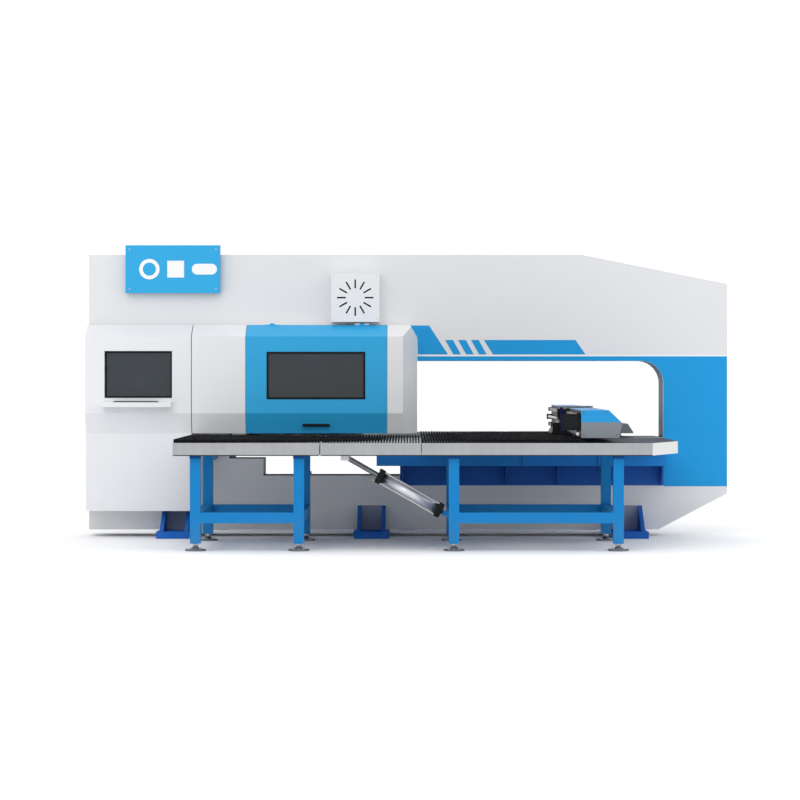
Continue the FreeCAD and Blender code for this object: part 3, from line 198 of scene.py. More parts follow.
def steel_group():
    """Machined steel: fine lines along one axis and faint stains."""
    group, given, made = node_tree_group(
        "machined_steel",
        (("Tone", "NodeSocketColor", (0.5, 0.5, 0.5, 1.0)), ("Roughness", "NodeSocketFloat", 0.3),
         ("Lines", "NodeSocketVector", (40.0, 900.0, 900.0))),
        (("Colour", "NodeSocketColor"), ("Roughness", "NodeSocketFloat"), ("Height", "NodeSocketFloat")))
    place = add_node(group, "ShaderNodeTexCoord").outputs["Object"]
    stretched = add_node(group, "ShaderNodeVectorMath", {"operation": "MULTIPLY"},
                         i0=place, i1=given.outputs["Lines"]).outputs[0]
    lines = noise(group, stretched, 1.0, 3.0)
    stains = remap(group, noise(group, place, 9.0, 5.0), 0.4, 0.75, 0.0, 0.3)
    bright = remap(group, lines, 0.3, 0.7, 0.9, 1.1)
    value = math_node(group, "SUBTRACT", bright, math_node(group, "MULTIPLY", stains, 0.4))
    toned = add_node(group, "ShaderNodeHueSaturation", Value=value, Color=given.outputs["Tone"]).outputs[0]
    rough = math_node(group, "ADD", given.outputs["Roughness"],
                      math_node(group, "ADD", stains, remap(group, lines, 0.3, 0.7, -0.06, 0.08)))
    group.links.new(toned, made.inputs["Colour"])
    group.links.new(rough, made.inputs["Roughness"])
    group.links.new(lines, made.inputs["Height"])
    return group


def shader_groups():
    """The two shared effects, each built once."""
    found = bpy.data.node_groups
    return {"coat": found.get("powder_coat") or coat_group(),
            "steel": found.get("machined_steel") or steel_group()}


def start_material(name):
    material = bpy.data.materials.new(name)
    material.use_nodes = True
    tree = material.node_tree
    return material, tree, tree.nodes["Principled BSDF"]


def finish_bump(tree, shader, height, distance, strength):
    bump = add_node(tree, "ShaderNodeBump", Height=height, Distance=distance, Strength=strength)
    tree.links.new(bump.outputs["Normal"], shader.inputs["Normal"])


def zone_mask(tree, low, high, soft=0.0005):
    """A mask that is one inside a box of object coordinates; None leaves a side open."""
    place = add_node(tree, "ShaderNodeTexCoord").outputs["Object"]
    parts = add_node(tree, "ShaderNodeSeparateXYZ", Vector=place).outputs
    mask = None
    for axis, start, end in zip("XYZ", low, high):
        for level, rising in ((start, True), (end, False)):
            if level is None:
                continue
            ends = (0.0, 1.0) if rising else (1.0, 0.0)
            edge = remap(tree, parts[axis], level - soft, level + soft, *ends)
            mask = edge if mask is None else math_node(tree, "MULTIPLY", mask, edge)
    return mask


def coat(name, tone, roughness=0.42, dust=0.25, drift=0.05, zones=(), clear=0.0, peel=260.0, shine=0.3):
    """A painted material; each zone is (low corner, high corner, its colour)."""
    if name in bpy.data.materials:
        return bpy.data.materials[name]
    material, tree, shader = start_material(name)
    base = (*tone, 1.0)
    for low, high, inside in zones:
        base = mix_colour(tree, zone_mask(tree, low, high), base, (*inside, 1.0))
    group = tree.nodes.new("ShaderNodeGroup")
    group.node_tree = shader_groups()["coat"]
    if isinstance(base, bpy.types.NodeSocket):
        tree.links.new(base, group.inputs["Tone"])
    else:
        group.inputs["Tone"].default_value = base
    group.inputs["Roughness"].default_value = roughness
    group.inputs["Drift"].default_value = drift
    group.inputs["Dust"].default_value = dust
    group.inputs["Peel"].default_value = peel
    tree.links.new(group.outputs["Colour"], shader.inputs["Base Color"])
    tree.links.new(group.outputs["Roughness"], shader.inputs["Roughness"])
    shader.inputs["Coat Weight"].default_value = clear
    shader.inputs["Coat Roughness"].default_value = 0.18
    shader.inputs["Specular IOR Level"].default_value = shine
    finish_bump(tree, shader, group.outputs["Height"], 0.0004, 0.12)
    material.diffuse_color = (*tone, 1.0)
    return material


def steel(name, tone, roughness=0.32, lines=(40.0, 900.0, 900.0), metallic=1.0):
    if name in bpy.data.materials:
        return bpy.data.materials[name]
    material, tree, shader = start_material(name)
    group = tree.nodes.new("ShaderNodeGroup")
    group.node_tree = shader_groups()["steel"]
    group.inputs["Tone"].default_value = (*tone, 1.0)
    group.inputs["Roughness"].default_value = roughness
    group.inputs["Lines"].default_value = lines
    tree.links.new(group.outputs["Colour"], shader.inputs["Base Color"])
    tree.links.new(group.outputs["Roughness"], shader.inputs["Roughness"])
    shader.inputs["Metallic"].default_value = metallic
    finish_bump(tree, shader, group.outputs["Height"], 0.0003, 0.10)
    material.diffuse_color = (*tone, 1.0)
    return material


def knurled_plate(name, tone, pitch):
    """Chequered metal strip: two sets of slanted ribs, with painted shade in the grooves."""
    if name in bpy.data.materials:
        return bpy.data.materials[name]
    material, tree, shader = start_material(name)
    place = add_node(tree, "ShaderNodeTexCoord").outputs["Object"]
    parts = add_node(tree, "ShaderNodeSeparateXYZ", Vector=place).outputs
    turn = 2.0 * math.pi / pitch
    across = math_node(tree, "MULTIPLY", parts["X"], turn)
    upward = math_node(tree, "MULTIPLY", parts["Z"], turn)
    one = math_node(tree, "SINE", math_node(tree, "ADD", across, upward))
    other = math_node(tree, "SINE", math_node(tree, "SUBTRACT", across, upward))
    pattern = remap(tree, math_node(tree, "MULTIPLY", one, other), -0.6, 0.6, 0.0, 1.0)
    grime = remap(tree, noise(tree, place, 6.0, 6.0), 0.35, 0.75, 0.0, 0.25)
    # The grooves get this darker tone as painted shade; the same tone also serves as the grime.
    dark = tuple(0.48 * channel for channel in tone)
    toned = mix_colour(tree, pattern, (*dark, 1.0), (*tone, 1.0))
    toned = mix_colour(tree, grime, toned, (*dark, 1.0))
    tree.links.new(toned, shader.inputs["Base Color"])
    tree.links.new(remap(tree, pattern, 0.0, 1.0, 0.6, 0.38), shader.inputs["Roughness"])
    shader.inputs["Metallic"].default_value = 0.2
    finish_bump(tree, shader, pattern, 0.0012, 0.5)
    material.diffuse_color = (*tone, 1.0)
    return material


def glass_panel(name, tone, roughness=0.12):
    """Dark tinted pane with faint smears."""
    if name in bpy.data.materials:
        return bpy.data.materials[name]
    material, tree, shader = start_material(name)
    place = add_node(tree, "ShaderNodeTexCoord").outputs["Object"]
    smears = remap(tree, noise(tree, place, 4.0, 7.0), 0.45, 0.75, 0.0, 0.2)
    toned = mix_colour(tree, smears, (*tone, 1.0), tuple(1.5 * c for c in tone) + (1.0,))
    tree.links.new(toned, shader.inputs["Base Color"])
    tree.links.new(math_node(tree, "ADD", smears, roughness), shader.inputs["Roughness"])
    shader.inputs["Specular IOR Level"].default_value = 0.25
    material.diffuse_color = (*tone, 1.0)
    return material


def bristle(name):
    """Black nylon bristles: darker at the root as painted shade among the tufts, greyer and glossier at the
    tips.
    """
    if name in bpy.data.materials:
        return bpy.data.materials[name]
    material, tree, shader = start_material(name)
    place = add_node(tree, "ShaderNodeTexCoord").outputs["Object"]
    up = add_node(tree, "ShaderNodeSeparateXYZ", Vector=place).outputs["Z"]
    tip = remap(tree, up, TABLE_TOP, BRUSH_TOP, 0.0, 1.0)
    speck = remap(tree, noise(tree, place, 300.0, 2.0), 0.3, 0.7, 0.5, 1.3)
    # Root-to-tip tone: painted shade near the roots, lighter towards the tips.
    tone = mix_colour(tree, tip, (0.004, 0.004, 0.005, 1.0), (0.022, 0.022, 0.025, 1.0))
    toned = add_node(tree, "ShaderNodeHueSaturation", Value=speck, Color=tone).outputs[0]
    tree.links.new(toned, shader.inputs["Base Color"])
    tree.links.new(remap(tree, tip, 0.0, 1.0, 0.8, 0.45), shader.inputs["Roughness"])
    shader.inputs["Specular IOR Level"].default_value = 0.08
    finish_bump(tree, shader, noise(tree, place, 1400.0, 1.0), 0.0004, 0.4)
    material.diffuse_color = (0.02, 0.02, 0.02, 1.0)
    return material


# Mesh building

def add_box(bm, low, high):
    """A box between its lowest and highest corners."""
    corners = [bm.verts.new((x, y, z)) for x in (low[0], high[0]) for y in (low[1], high[1])
               for z in (low[2], high[2])]
    for face in ((0, 1, 3, 2), (4, 6, 7, 5), (0, 4, 5, 1), (2, 3, 7, 6), (0, 2, 6, 4), (1, 5, 7, 3)):
        bm.faces.new([corners[i] for i in face])


def add_rim(bm, low, high, wide, near, far):
    """A rectangular rim in XZ between two (x, z) corners, from near to far along Y."""
    left, bottom = low
    right, top = high
    for a, b, c, d in ((left, right, top - wide, top), (left, right, bottom, bottom + wide),
                       (left, left + wide, bottom + wide, top - wide),
                       (right - wide, right, bottom + wide, top - wide)):
        add_box(bm, (a, near, c), (b, far, d))


def add_prism(bm, outline, plane, span):
    """A solid whose outline lies in XZ, YZ or XY, and whose span is on the third axis."""
    order = {"XZ": (0, 2, 1), "YZ": (1, 2, 0), "XY": (0, 1, 2)}[plane]
    rings = []
    for level in span:
        ring = []
        for first, second in outline:
            place = [0.0, 0.0, 0.0]
            place[order[0]], place[order[1]], place[order[2]] = first, second, level
            ring.append(bm.verts.new(place))
        rings.append(ring)
    bm.faces.new(rings[0])
    bm.faces.new(rings[1][::-1])
    for i in range(len(outline)):
        j = (i + 1) % len(outline)
        bm.faces.new((rings[0][i], rings[1][i], rings[1][j], rings[0][j]))


def add_lathe(bm, start, direction, profile, sides=24):
    """A solid of revolution: profile holds (distance along the axis, radius)."""
    axis = Vector(direction).normalized()
    side = axis.orthogonal().normalized()
    other = axis.cross(side)
    rings = []
    for along, radius in profile:
        centre = Vector(start) + axis * along
        rings.append([bm.verts.new(centre + (side * math.cos(a) + other * math.sin(a)) * radius)
                      for a in (2 * math.pi * k / sides for k in range(sides))])
    for lower, upper in zip(rings, rings[1:]):
        for k in range(sides):
            bm.faces.new((lower[k], lower[(k + 1) % sides], upper[(k + 1) % sides], upper[k]))
    bm.faces.new(rings[0][::-1])
    bm.faces.new(rings[-1])


def finish_piece(name, bm, body, material, bevel=0.0, smooth=False, replaces=()):
    """Closes a mesh, rounds its edges, gives it its finish and puts it on its body."""
    bmesh.ops.recalc_face_normals(bm, faces=bm.faces)
    if bevel:
        sharp = [e for e in bm.edges if len(e.link_faces) == 2 and e.calc_face_angle(0.0) > math.radians(30)]
        bmesh.ops.bevel(bm, geom=sharp, offset=bevel, segments=2, affect="EDGES", clamp_overlap=True)
    if smooth:
        for face in bm.faces:
            face.smooth = len(face.verts) == 4
    mesh = bpy.data.meshes.new(name)
    bm.to_mesh(mesh)
    bm.free()
    return place_piece(name, mesh, body, material, replaces)


def place_piece(name, mesh, body, material, replaces=()):
    piece = bpy.data.objects.new(name, mesh)
    bpy.context.scene.collection.objects.link(piece)
    mesh.materials.clear()
    mesh.materials.append(material)
    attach(piece, body)
    if replaces:
        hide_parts(*replaces)
    return piece


# Geometry Nodes trees

def geometry_tree(name, inputs):
    tree = bpy.data.node_groups.new(name, "GeometryNodeTree")
    tree.interface.new_socket("Geometry", in_out="INPUT", socket_type="NodeSocketGeometry")
    for label, kind in inputs:
        tree.interface.new_socket(label, in_out="INPUT", socket_type=kind)
    tree.interface.new_socket("Geometry", in_out="OUTPUT", socket_type="NodeSocketGeometry")
    return tree, tree.nodes.new("NodeGroupInput").outputs, tree.nodes.new("NodeGroupOutput")


def end_tree(tree, geometry, material, made):
    realized = add_node(tree, "GeometryNodeRealizeInstances", Geometry=geometry).outputs[0]
    painted = add_node(tree, "GeometryNodeSetMaterial", Geometry=realized, Material=material).outputs[0]
    tree.links.new(painted, made.inputs[0])


def made_by_nodes(tree, carrier, values):
    """Evaluates a tree on a carrier mesh and returns the result as a plain mesh."""
    holder = bpy.data.objects.new(tree.name + "_carrier", carrier)
    bpy.context.scene.collection.objects.link(holder)
    modifier = holder.modifiers.new("Shape", "NODES")
    modifier.node_group = tree
    sockets = {item.name: item.identifier for item in tree.interface.items_tree if item.in_out == "INPUT"}
    for label, value in values.items():
        modifier[sockets[label]] = value
    bpy.context.view_layer.update()
    graph = bpy.context.evaluated_depsgraph_get()
    mesh = bpy.data.meshes.new_from_object(holder.evaluated_get(graph), depsgraph=graph)
    holder.modifiers.remove(modifier)
    bpy.data.objects.remove(holder)
    if not mesh.polygons:
        raise RuntimeError(f"{tree.name} made no faces")
    return mesh


def brush_tree():
    """Rows of strip holders along Y, each with tufts that lean a little."""
    if "brush_rows" in bpy.data.node_groups:
        return bpy.data.node_groups["brush_rows"]
    tree, given, made = geometry_tree("brush_rows", (
        ("Corner", "NodeSocketVector"), ("Width", "NodeSocketFloat"), ("Length", "NodeSocketFloat"),
        ("Strips", "NodeSocketInt"), ("Tufts", "NodeSocketInt"), ("Strip width", "NodeSocketFloat"),
        ("Holder height", "NodeSocketFloat"), ("Brush height", "NodeSocketFloat"),
        ("Tuft radius", "NodeSocketFloat"), ("Lean", "NodeSocketFloat"), ("Seed", "NodeSocketInt"),
        ("Bristle", "NodeSocketMaterial")))
    half_width = math_node(tree, "MULTIPLY", given["Width"], 0.5)
    half_length = math_node(tree, "MULTIPLY", given["Length"], 0.5)
    half_holder = math_node(tree, "MULTIPLY", given["Holder height"], 0.5)
    middle = add_node(tree, "ShaderNodeCombineXYZ", X=half_width, Y=half_length, Z=0.0).outputs[0]
    centre = add_node(tree, "ShaderNodeVectorMath", {"operation": "ADD"},
                      i0=given["Corner"], i1=middle).outputs[0]

    row = add_node(tree, "GeometryNodeMeshGrid", i0=given["Width"], i1=0.0, i2=given["Strips"], i3=2)
    row_points = add_node(tree, "GeometryNodeMergeByDistance", Geometry=row.outputs[0],
                          Distance=0.00001).outputs[0]
    size = add_node(tree, "ShaderNodeCombineXYZ", X=given["Strip width"], Y=given["Length"],
                    Z=given["Holder height"])
    holder = add_node(tree, "GeometryNodeMeshCube", Size=size.outputs[0]).outputs[0]
    lift = add_node(tree, "ShaderNodeCombineXYZ", Z=half_holder).outputs[0]
    holder = add_node(tree, "GeometryNodeTransform", Geometry=holder, Translation=lift).outputs[0]
    holders = add_node(tree, "GeometryNodeInstanceOnPoints", Points=row_points, Instance=holder).outputs[0]

    field = add_node(tree, "GeometryNodeMeshGrid", i0=given["Width"], i1=given["Length"],
                     i2=given["Strips"], i3=given["Tufts"]).outputs[0]
    field = add_node(tree, "GeometryNodeTransform", Geometry=field, Translation=lift).outputs[0]
    rise = math_node(tree, "SUBTRACT", given["Brush height"], half_holder)
    root = math_node(tree, "MULTIPLY", given["Tuft radius"], 0.55)
    tuft = add_node(tree, "GeometryNodeMeshCone", {"fill_type": "NGON"}, Vertices=6)
    tree.links.new(given["Tuft radius"], tuft.inputs["Radius Top"])
    tree.links.new(root, tuft.inputs["Radius Bottom"])
    tree.links.new(rise, tuft.inputs["Depth"])
    lean_low = math_node(tree, "MULTIPLY", given["Lean"], -1.0)
    low = add_node(tree, "ShaderNodeCombineXYZ", X=lean_low, Y=lean_low, Z=0.0).outputs[0]
    high = add_node(tree, "ShaderNodeCombineXYZ", X=given["Lean"], Y=given["Lean"], Z=3.0).outputs[0]
    turn = add_node(tree, "FunctionNodeRandomValue", {"data_type": "FLOAT_VECTOR"}, i0=low, i1=high,
                    Seed=given["Seed"])
    grow_low = add_node(tree, "ShaderNodeCombineXYZ", X=0.8, Y=0.8, Z=0.9).outputs[0]
    grow_high = add_node(tree, "ShaderNodeCombineXYZ", X=1.1, Y=1.1, Z=1.0).outputs[0]
    grow = add_node(tree, "FunctionNodeRandomValue", {"data_type": "FLOAT_VECTOR"}, i0=grow_low, i1=grow_high,
                    Seed=given["Seed"])
    tufts = add_node(tree, "GeometryNodeInstanceOnPoints", Points=field, Instance=tuft.outputs[0],
                     Rotation=turn.outputs[0], Scale=grow.outputs[0]).outputs[0]

    joined = tree.nodes.new("GeometryNodeJoinGeometry")
    tree.links.new(holders, joined.inputs[0])
    tree.links.new(tufts, joined.inputs[0])
    moved = add_node(tree, "GeometryNodeTransform", Geometry=joined.outputs[0], Translation=centre).outputs[0]
    end_tree(tree, moved, given["Bristle"], made)
    return tree


def screw_tree():
    """A socket-head screw on every point, its axis turned to face outwards."""
    if "cover_screws" in bpy.data.node_groups:
        return bpy.data.node_groups["cover_screws"]
    tree, given, made = geometry_tree("cover_screws", (
        ("Radius", "NodeSocketFloat"), ("Height", "NodeSocketFloat"), ("Sides", "NodeSocketInt"),
        ("Facing", "NodeSocketVector"), ("Finish", "NodeSocketMaterial")))
    head = add_node(tree, "GeometryNodeMeshCylinder", {"fill_type": "NGON"})
    tree.links.new(given["Sides"], head.inputs["Vertices"])
    tree.links.new(given["Radius"], head.inputs["Radius"])
    tree.links.new(given["Height"], head.inputs["Depth"])
    rim = add_node(tree, "GeometryNodeExtrudeMesh", {"mode": "FACES"}, Mesh=head.outputs["Mesh"],
                   Selection=head.outputs["Top"])
    rim.inputs["Offset Scale"].default_value = 0.0
    shrunk = add_node(tree, "GeometryNodeScaleElements", Geometry=rim.outputs["Mesh"],
                      Selection=rim.outputs["Top"], Scale=0.55).outputs[0]
    depth = math_node(tree, "MULTIPLY", given["Height"], -0.6)
    socket = add_node(tree, "GeometryNodeExtrudeMesh", {"mode": "FACES"}, Mesh=shrunk,
                      Selection=rim.outputs["Top"])
    tree.links.new(depth, socket.inputs["Offset Scale"])
    turn = add_node(tree, "FunctionNodeAlignRotationToVector", {"axis": "Z"},
                    Vector=given["Facing"]).outputs[0]
    placed = add_node(tree, "GeometryNodeInstanceOnPoints", Points=given["Geometry"],
                      Instance=socket.outputs["Mesh"], Rotation=turn).outputs[0]
    end_tree(tree, placed, given["Finish"], made)
    return tree


def screws(name, body, places, facing, material, radius=None, height=None, sides=12):
    """A set of like cover screws on one body."""
    sizes = bpy.context.scene.press_trim
    points = bpy.data.meshes.new(name + "_places")
    points.from_pydata(places, [], [])
    mesh = made_by_nodes(screw_tree(), points, {
        "Radius": radius or sizes.screw_radius, "Height": 2 * (height or sizes.screw_height),
        "Sides": sides, "Facing": facing, "Finish": material})
    return place_piece(name, mesh, body, material)


# Finishes of the CAD nodes

def finishes():
    """Every finish of the machine, by its plain name."""
    paint = bpy.context.scene.press_paints
    every = (None, None, None)
    black = (0.009, 0.010, 0.012)
    return {
        "frame_white": coat("frame_white", paint.frame, 0.46, dust=0.2),
        "guard_white": coat("guard_white", paint.guard, 0.42, dust=0.15),
        "door_blue": coat("door_blue", paint.door, 0.34, dust=0.0, clear=0.1, shine=0.15),
        "stripe_blue": coat("stripe_blue", paint.stripe, 0.38, dust=0.0, drift=0.08, shine=0.12),
        "line_white": coat("line_white", (0.84, 0.85, 0.86), 0.4, dust=0.0),
        "leg_blue": coat("leg_blue", paint.leg, 0.4, dust=0.12, drift=0.12, shine=0.12),
        # Dark blue for the painted shadow at the legs' tops under the bands.
        "cap_blue": coat("cap_blue", (0.006, 0.07, 0.26), 0.4, dust=0.0, shine=0.1),
        "bracket_blue": coat("bracket_blue", paint.bracket, 0.42, dust=0.12, drift=0.15, shine=0.1,
                             zones=(((None, FRAME_FACE - 0.0205, 0.05), (None, -FRAME_FACE + 0.0205, None),
                                     (0.27, 0.32, 0.42)),)),
        # shelf_blue: below z 0.594 the blue is painted darker navy as painted shade under the table; the zone
        # above it is the plain blue.
        "shelf_blue": coat("shelf_blue", (0.018, 0.11, 0.42), 0.45, dust=0.0, drift=0.15, shine=0.1,
                           zones=(((None, None, 0.594), every, (0.022, 0.24, 0.68)),)),
        "beam_blue": coat("beam_blue", (0.185, 0.205, 0.235), 0.36, dust=0.0, clear=0.1, shine=0.15,
                          zones=(((None, None, 0.988), every, tuple(paint.beam)),)),
        # frame_liner: inside the throat the off-white liner is painted near black as painted shade, and its
        # right inner side grey-blue as painted shade under the table.
        "frame_liner": coat("frame_liner", paint.frame, 0.5, dust=0.0, shine=0.12, zones=(
            ((-1.54, None, 0.47), (2.17, None, 1.495), (0.006, 0.0065, 0.008)),
            ((1.92, None, 0.84), (2.17, None, 1.495), (0.15, 0.20, 0.27)))),
        "saddle_grey": coat("saddle_grey", (0.165, 0.19, 0.215), 0.45, dust=0.0, drift=0.12, shine=0.15),
        "motor_black": coat("motor_black", black, 0.5, dust=0.0, drift=0.25, shine=0.12),
        # carriage_black: left of x 1.2835 the black is painted navy, a painted shade standing for the blue
        # beam's side face in shadow.
        "carriage_black": coat("carriage_black", black, 0.45, dust=0.0, shine=0.12, zones=(
            (every, (1.2835, None, None), (0.008, 0.010, 0.075)),
            ((None, None, 1.0835), every, (0.16, 0.18, 0.20)))),
        "gearbox_grey": coat("gearbox_grey", (0.12, 0.13, 0.145), 0.5, dust=0.0, drift=0.2),
        "table_plate": coat("table_plate", (0.70, 0.71, 0.705), 0.6, dust=0.0, shine=0.03,
                            zones=(((None, None, TABLE_TOP - 0.0005), every, (0.085, 0.092, 0.11)),)),
        "bright_steel": steel("bright_steel", (0.50, 0.51, 0.52), 0.28),
        "tube_steel": steel("tube_steel", (0.72, 0.73, 0.76), 0.24, (700.0, 40.0, 700.0)),
        "rod_steel": steel("rod_steel", (0.20, 0.205, 0.215), 0.18, (900.0, 60.0, 900.0)),
        "dark_steel": steel("dark_steel", (0.09, 0.092, 0.10), 0.34, (900.0, 40.0, 900.0)),
        "tool_steel": steel("tool_steel", (0.28, 0.29, 0.31), 0.38, (500.0, 500.0, 60.0)),
        "foot_steel": steel("foot_steel", (0.20, 0.21, 0.23), 0.4, (300.0, 300.0, 700.0)),
        "band_steel": knurled_plate("band_steel", (0.49, 0.50, 0.52), 0.017),
        "window_glass": glass_panel("window_glass", (0.040, 0.048, 0.055), 0.16),
        "screen_glass": glass_panel("screen_glass", (0.040, 0.048, 0.056), 0.22),
        "rubber_black": coat("rubber_black", (0.008, 0.009, 0.011), 0.6, dust=0.0, drift=0.3, peel=600.0,
                             shine=0.1),
        "bristle_black": bristle("bristle_black"),
    }


NODE_FINISH = {
    "frame_front_plate": "frame_white", "frame_rear_plate": "frame_white", "frame_core": "frame_liner",
    "front_anchor_brackets": "bracket_blue", "rear_anchor_brackets": "bracket_blue",
    "front_rail_shelf": "shelf_blue", "rear_rail_shelf": "shelf_blue", "x_rails": "bright_steel",
    "control_cabinet": "guard_white", "control_screen": "screen_glass", "keyboard_shelf": "guard_white",
    "front_guard": "guard_white", "right_guard": "guard_white", "rear_guard": "guard_white",
    "front_door": "door_blue", "door_window": "window_glass", "door_handle": "rubber_black",
    "sign_panel": "door_blue", "vent_box": "guard_white", "main_motor": "motor_black",
    "drive_gearbox": "gearbox_grey", "ram_guide": "gearbox_grey", "ram": "bright_steel",
    "upper_turret": "tool_steel", "lower_turret": "tool_steel", "working_punch": "bright_steel",
    "punch_set": "bright_steel", "die_set": "bright_steel", "upper_turret_shaft": "tool_steel",
    "lower_turret_shaft": "tool_steel", "left_table_frame": "leg_blue", "right_table_frame": "leg_blue",
    "rear_table_frame": "leg_blue", "levelling_feet": "foot_steel", "left_table_tray": "guard_white",
    "right_table_tray": "table_plate", "centre_table_tray": "table_plate", "rear_table_tray": "table_plate",
    "front_bands": "band_steel", "chute_tray": "guard_white", "chute_band": "band_steel",
    "cylinder_rod": "rod_steel", "cross_beam": "motor_black", "beam_cover": "beam_blue",
    "beam_end_covers": "beam_blue", "saddle": "saddle_grey", "rail_blocks": "motor_black",
    "x_servo_motor": "motor_black", "y_rails": "dark_steel", "carriage": "carriage_black",
    "clamp_jaw_front": "tool_steel", "clamp_jaw_rear": "tool_steel", "clamp_bodies": "motor_black",
}


class PRESS_OT_finishes(bpy.types.Operator):
    """Give every kept CAD node its paint or metal."""
    bl_idname = "press.finishes"
    bl_label = "Finishes"

    def execute(self, context):
        made = finishes()
        for node, finish in NODE_FINISH.items():
            mesh = frame["nodes"][node].data
            mesh.materials.clear()
            mesh.materials.append(made[finish])
        return {"FINISHED"}


# Pieces

class PRESS_OT_frame_stripes(bpy.types.Operator):
    """Stripe, pinstripe, slanted bars and coloured column on the frame's side plates."""
    bl_idname = "press.frame_stripes"
    bl_label = "Frame stripes"

    def execute(self, context):
        made = finishes()
        for side, face, away in (("front", FRAME_FACE, -1), ("rear", FRAME_REAR, 1)):
            near = (face, face + away * DECAL)
            upper = (face + away * DECAL, face + away * 2 * DECAL)
            column = bmesh.new()
            add_prism(column, self.column_outline(), "XZ", near)
            add_prism(column, [(0.08, 1.4715), (1.956, 1.4715), (1.956, 1.509), (0.08, 1.509)], "XZ", near)
            finish_piece(f"{side}_blue_column", column, "machine", made["stripe_blue"])
            line = bmesh.new()
            add_prism(line, [(0.08, 1.509), (FRAME_RIGHT, 1.509), (FRAME_RIGHT, 1.520), (0.08, 1.520)],
                      "XZ", near)
            finish_piece(f"{side}_pinstripe", line, "machine", made["line_white"])
            if side == "front":
                marks = bmesh.new()
                add_prism(marks, [(0.016, 1.767), (0.178, 1.767), (0.335, 1.525), (0.083, 1.525),
                                  (0.079, 1.663)], "XZ", upper)
                for index in range(3):
                    left = 0.312 + 0.108 * index
                    add_prism(marks, [(left, 1.646), (left + 0.065, 1.646), (left + 0.132, 1.525),
                                      (left + 0.068, 1.525)], "XZ", upper)
                add_prism(marks, [(0.636, 1.646), (1.405, 1.646), (1.488, 1.525), (0.713, 1.525)],
                          "XZ", upper)
                finish_piece("front_slanted_bars", marks, "machine", made["stripe_blue"])
        return {"FINISHED"}

    @staticmethod
    def throat_edge():
        """The throat's rounded upper right corner, from the top down, seen from the front."""
        centre, radius = (2.141 - 0.185, 1.471 - 0.185), 0.1853
        return [(centre[0] + radius * math.cos(a), centre[1] + radius * math.sin(a))
                for a in (math.radians(90 - 9 * k) for k in range(11))]

    def column_outline(self):
        return [(1.956, 1.509), (FRAME_RIGHT, 1.509), (FRAME_RIGHT, 0.419), (2.1415, 0.419)] + \
            self.throat_edge()[::-1]


class PRESS_OT_name_board(bpy.types.Operator):
    """Plain tool shapes on the name board: a ring, a square and a slot."""
    bl_idname = "press.name_board"
    bl_label = "Name board"

    def execute(self, context):
        made = finishes()
        low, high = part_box("sign_panel")
        middle = (low.z + high.z) / 2
        bm = bmesh.new()
        span = (low.y - DECAL, low.y)
        centre = low.x + 0.20
        self.ring(bm, (centre, middle), 0.085, 0.055, span)
        add_prism(bm, [(centre + 0.15, middle - 0.07), (centre + 0.29, middle - 0.07),
                       (centre + 0.29, middle + 0.07), (centre + 0.15, middle + 0.07)], "XZ", span)
        slot_left, slot_right, end = centre + 0.40, centre + 0.52, 0.045
        outline = [(slot_right + end * math.cos(a), middle + end * math.sin(a))
                   for a in (math.radians(-90 + 15 * k) for k in range(13))]
        outline += [(slot_left - end * math.cos(a), middle - end * math.sin(a))
                    for a in (math.radians(-90 + 15 * k) for k in range(13))]
        add_prism(bm, outline, "XZ", span)
        finish_piece("board_tool_shapes", bm, "machine", made["line_white"])
        return {"FINISHED"}

    @staticmethod
    def ring(bm, centre, outer, inner, span, sides=48):
        angles = [2 * math.pi * k / sides for k in range(sides)]
        loops = []
        for level in span:
            for radius in (outer, inner):
                loops.append([bm.verts.new((centre[0] + radius * math.cos(a), level,
                                            centre[1] + radius * math.sin(a))) for a in angles])
        pairs = ((0, 1), (1, 3), (3, 2), (2, 0))
        for k in range(sides):
            n = (k + 1) % sides
            for a, b in pairs:
                bm.faces.new((loops[a][k], loops[a][n], loops[b][n], loops[b][k]))


class PRESS_OT_brushes(bpy.types.Operator):
    """Brush strips with their tufts on the table sections and on the chute."""
    bl_idname = "press.brushes"
    bl_label = "Brush strips"

    BEDS = (("left_brushes", "left_brush_bed", "machine", (("left_brush_bed", None),)),
            ("right_brushes", "right_brush_bed", "machine", (("right_brush_bed", None),)),
            ("chute_brushes", "chute_brush_bed", "chute", (("chute_brush_bed", None),)),
            ("centre_brushes", "inner_brush_beds", "machine", (("inner_brush_beds", (-0.298, 0.298)),
                                                               ("inner_brush_beds", (0.452, 1.2)))))

    def execute(self, context):
        made = finishes()
        sizes = context.scene.press_brushes
        for name, node, body, beds in self.BEDS:
            meshes = []
            for seed, (bed, reach) in enumerate(beds):
                low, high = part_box(bed)
                near, far = reach or (low.y, high.y)
                inset = sizes.strip_width
                width = high.x - low.x - 2 * inset
                run = far - near - 2 * inset
                meshes.append(made_by_nodes(brush_tree(), bpy.data.meshes.new(name + "_carrier"), {
                    "Corner": (low.x + inset, near + inset, low.z), "Width": width, "Length": run,
                    "Strips": round(width / sizes.strip_pitch) + 1,
                    "Tufts": round(run / sizes.tuft_pitch) + 1,
                    "Strip width": sizes.strip_width, "Holder height": sizes.holder_height,
                    "Brush height": high.z - low.z - 0.001, "Tuft radius": sizes.tuft_radius, "Lean": 0.06,
                    "Seed": 11 + seed, "Bristle": made["bristle_black"]}))
            bm = bmesh.new()
            for mesh in meshes:
                bm.from_mesh(mesh)
            joined = bpy.data.meshes.new(name)
            bm.to_mesh(joined)
            bm.free()
            place_piece(name, joined, body, made["bristle_black"], (node,))
        return {"FINISHED"}


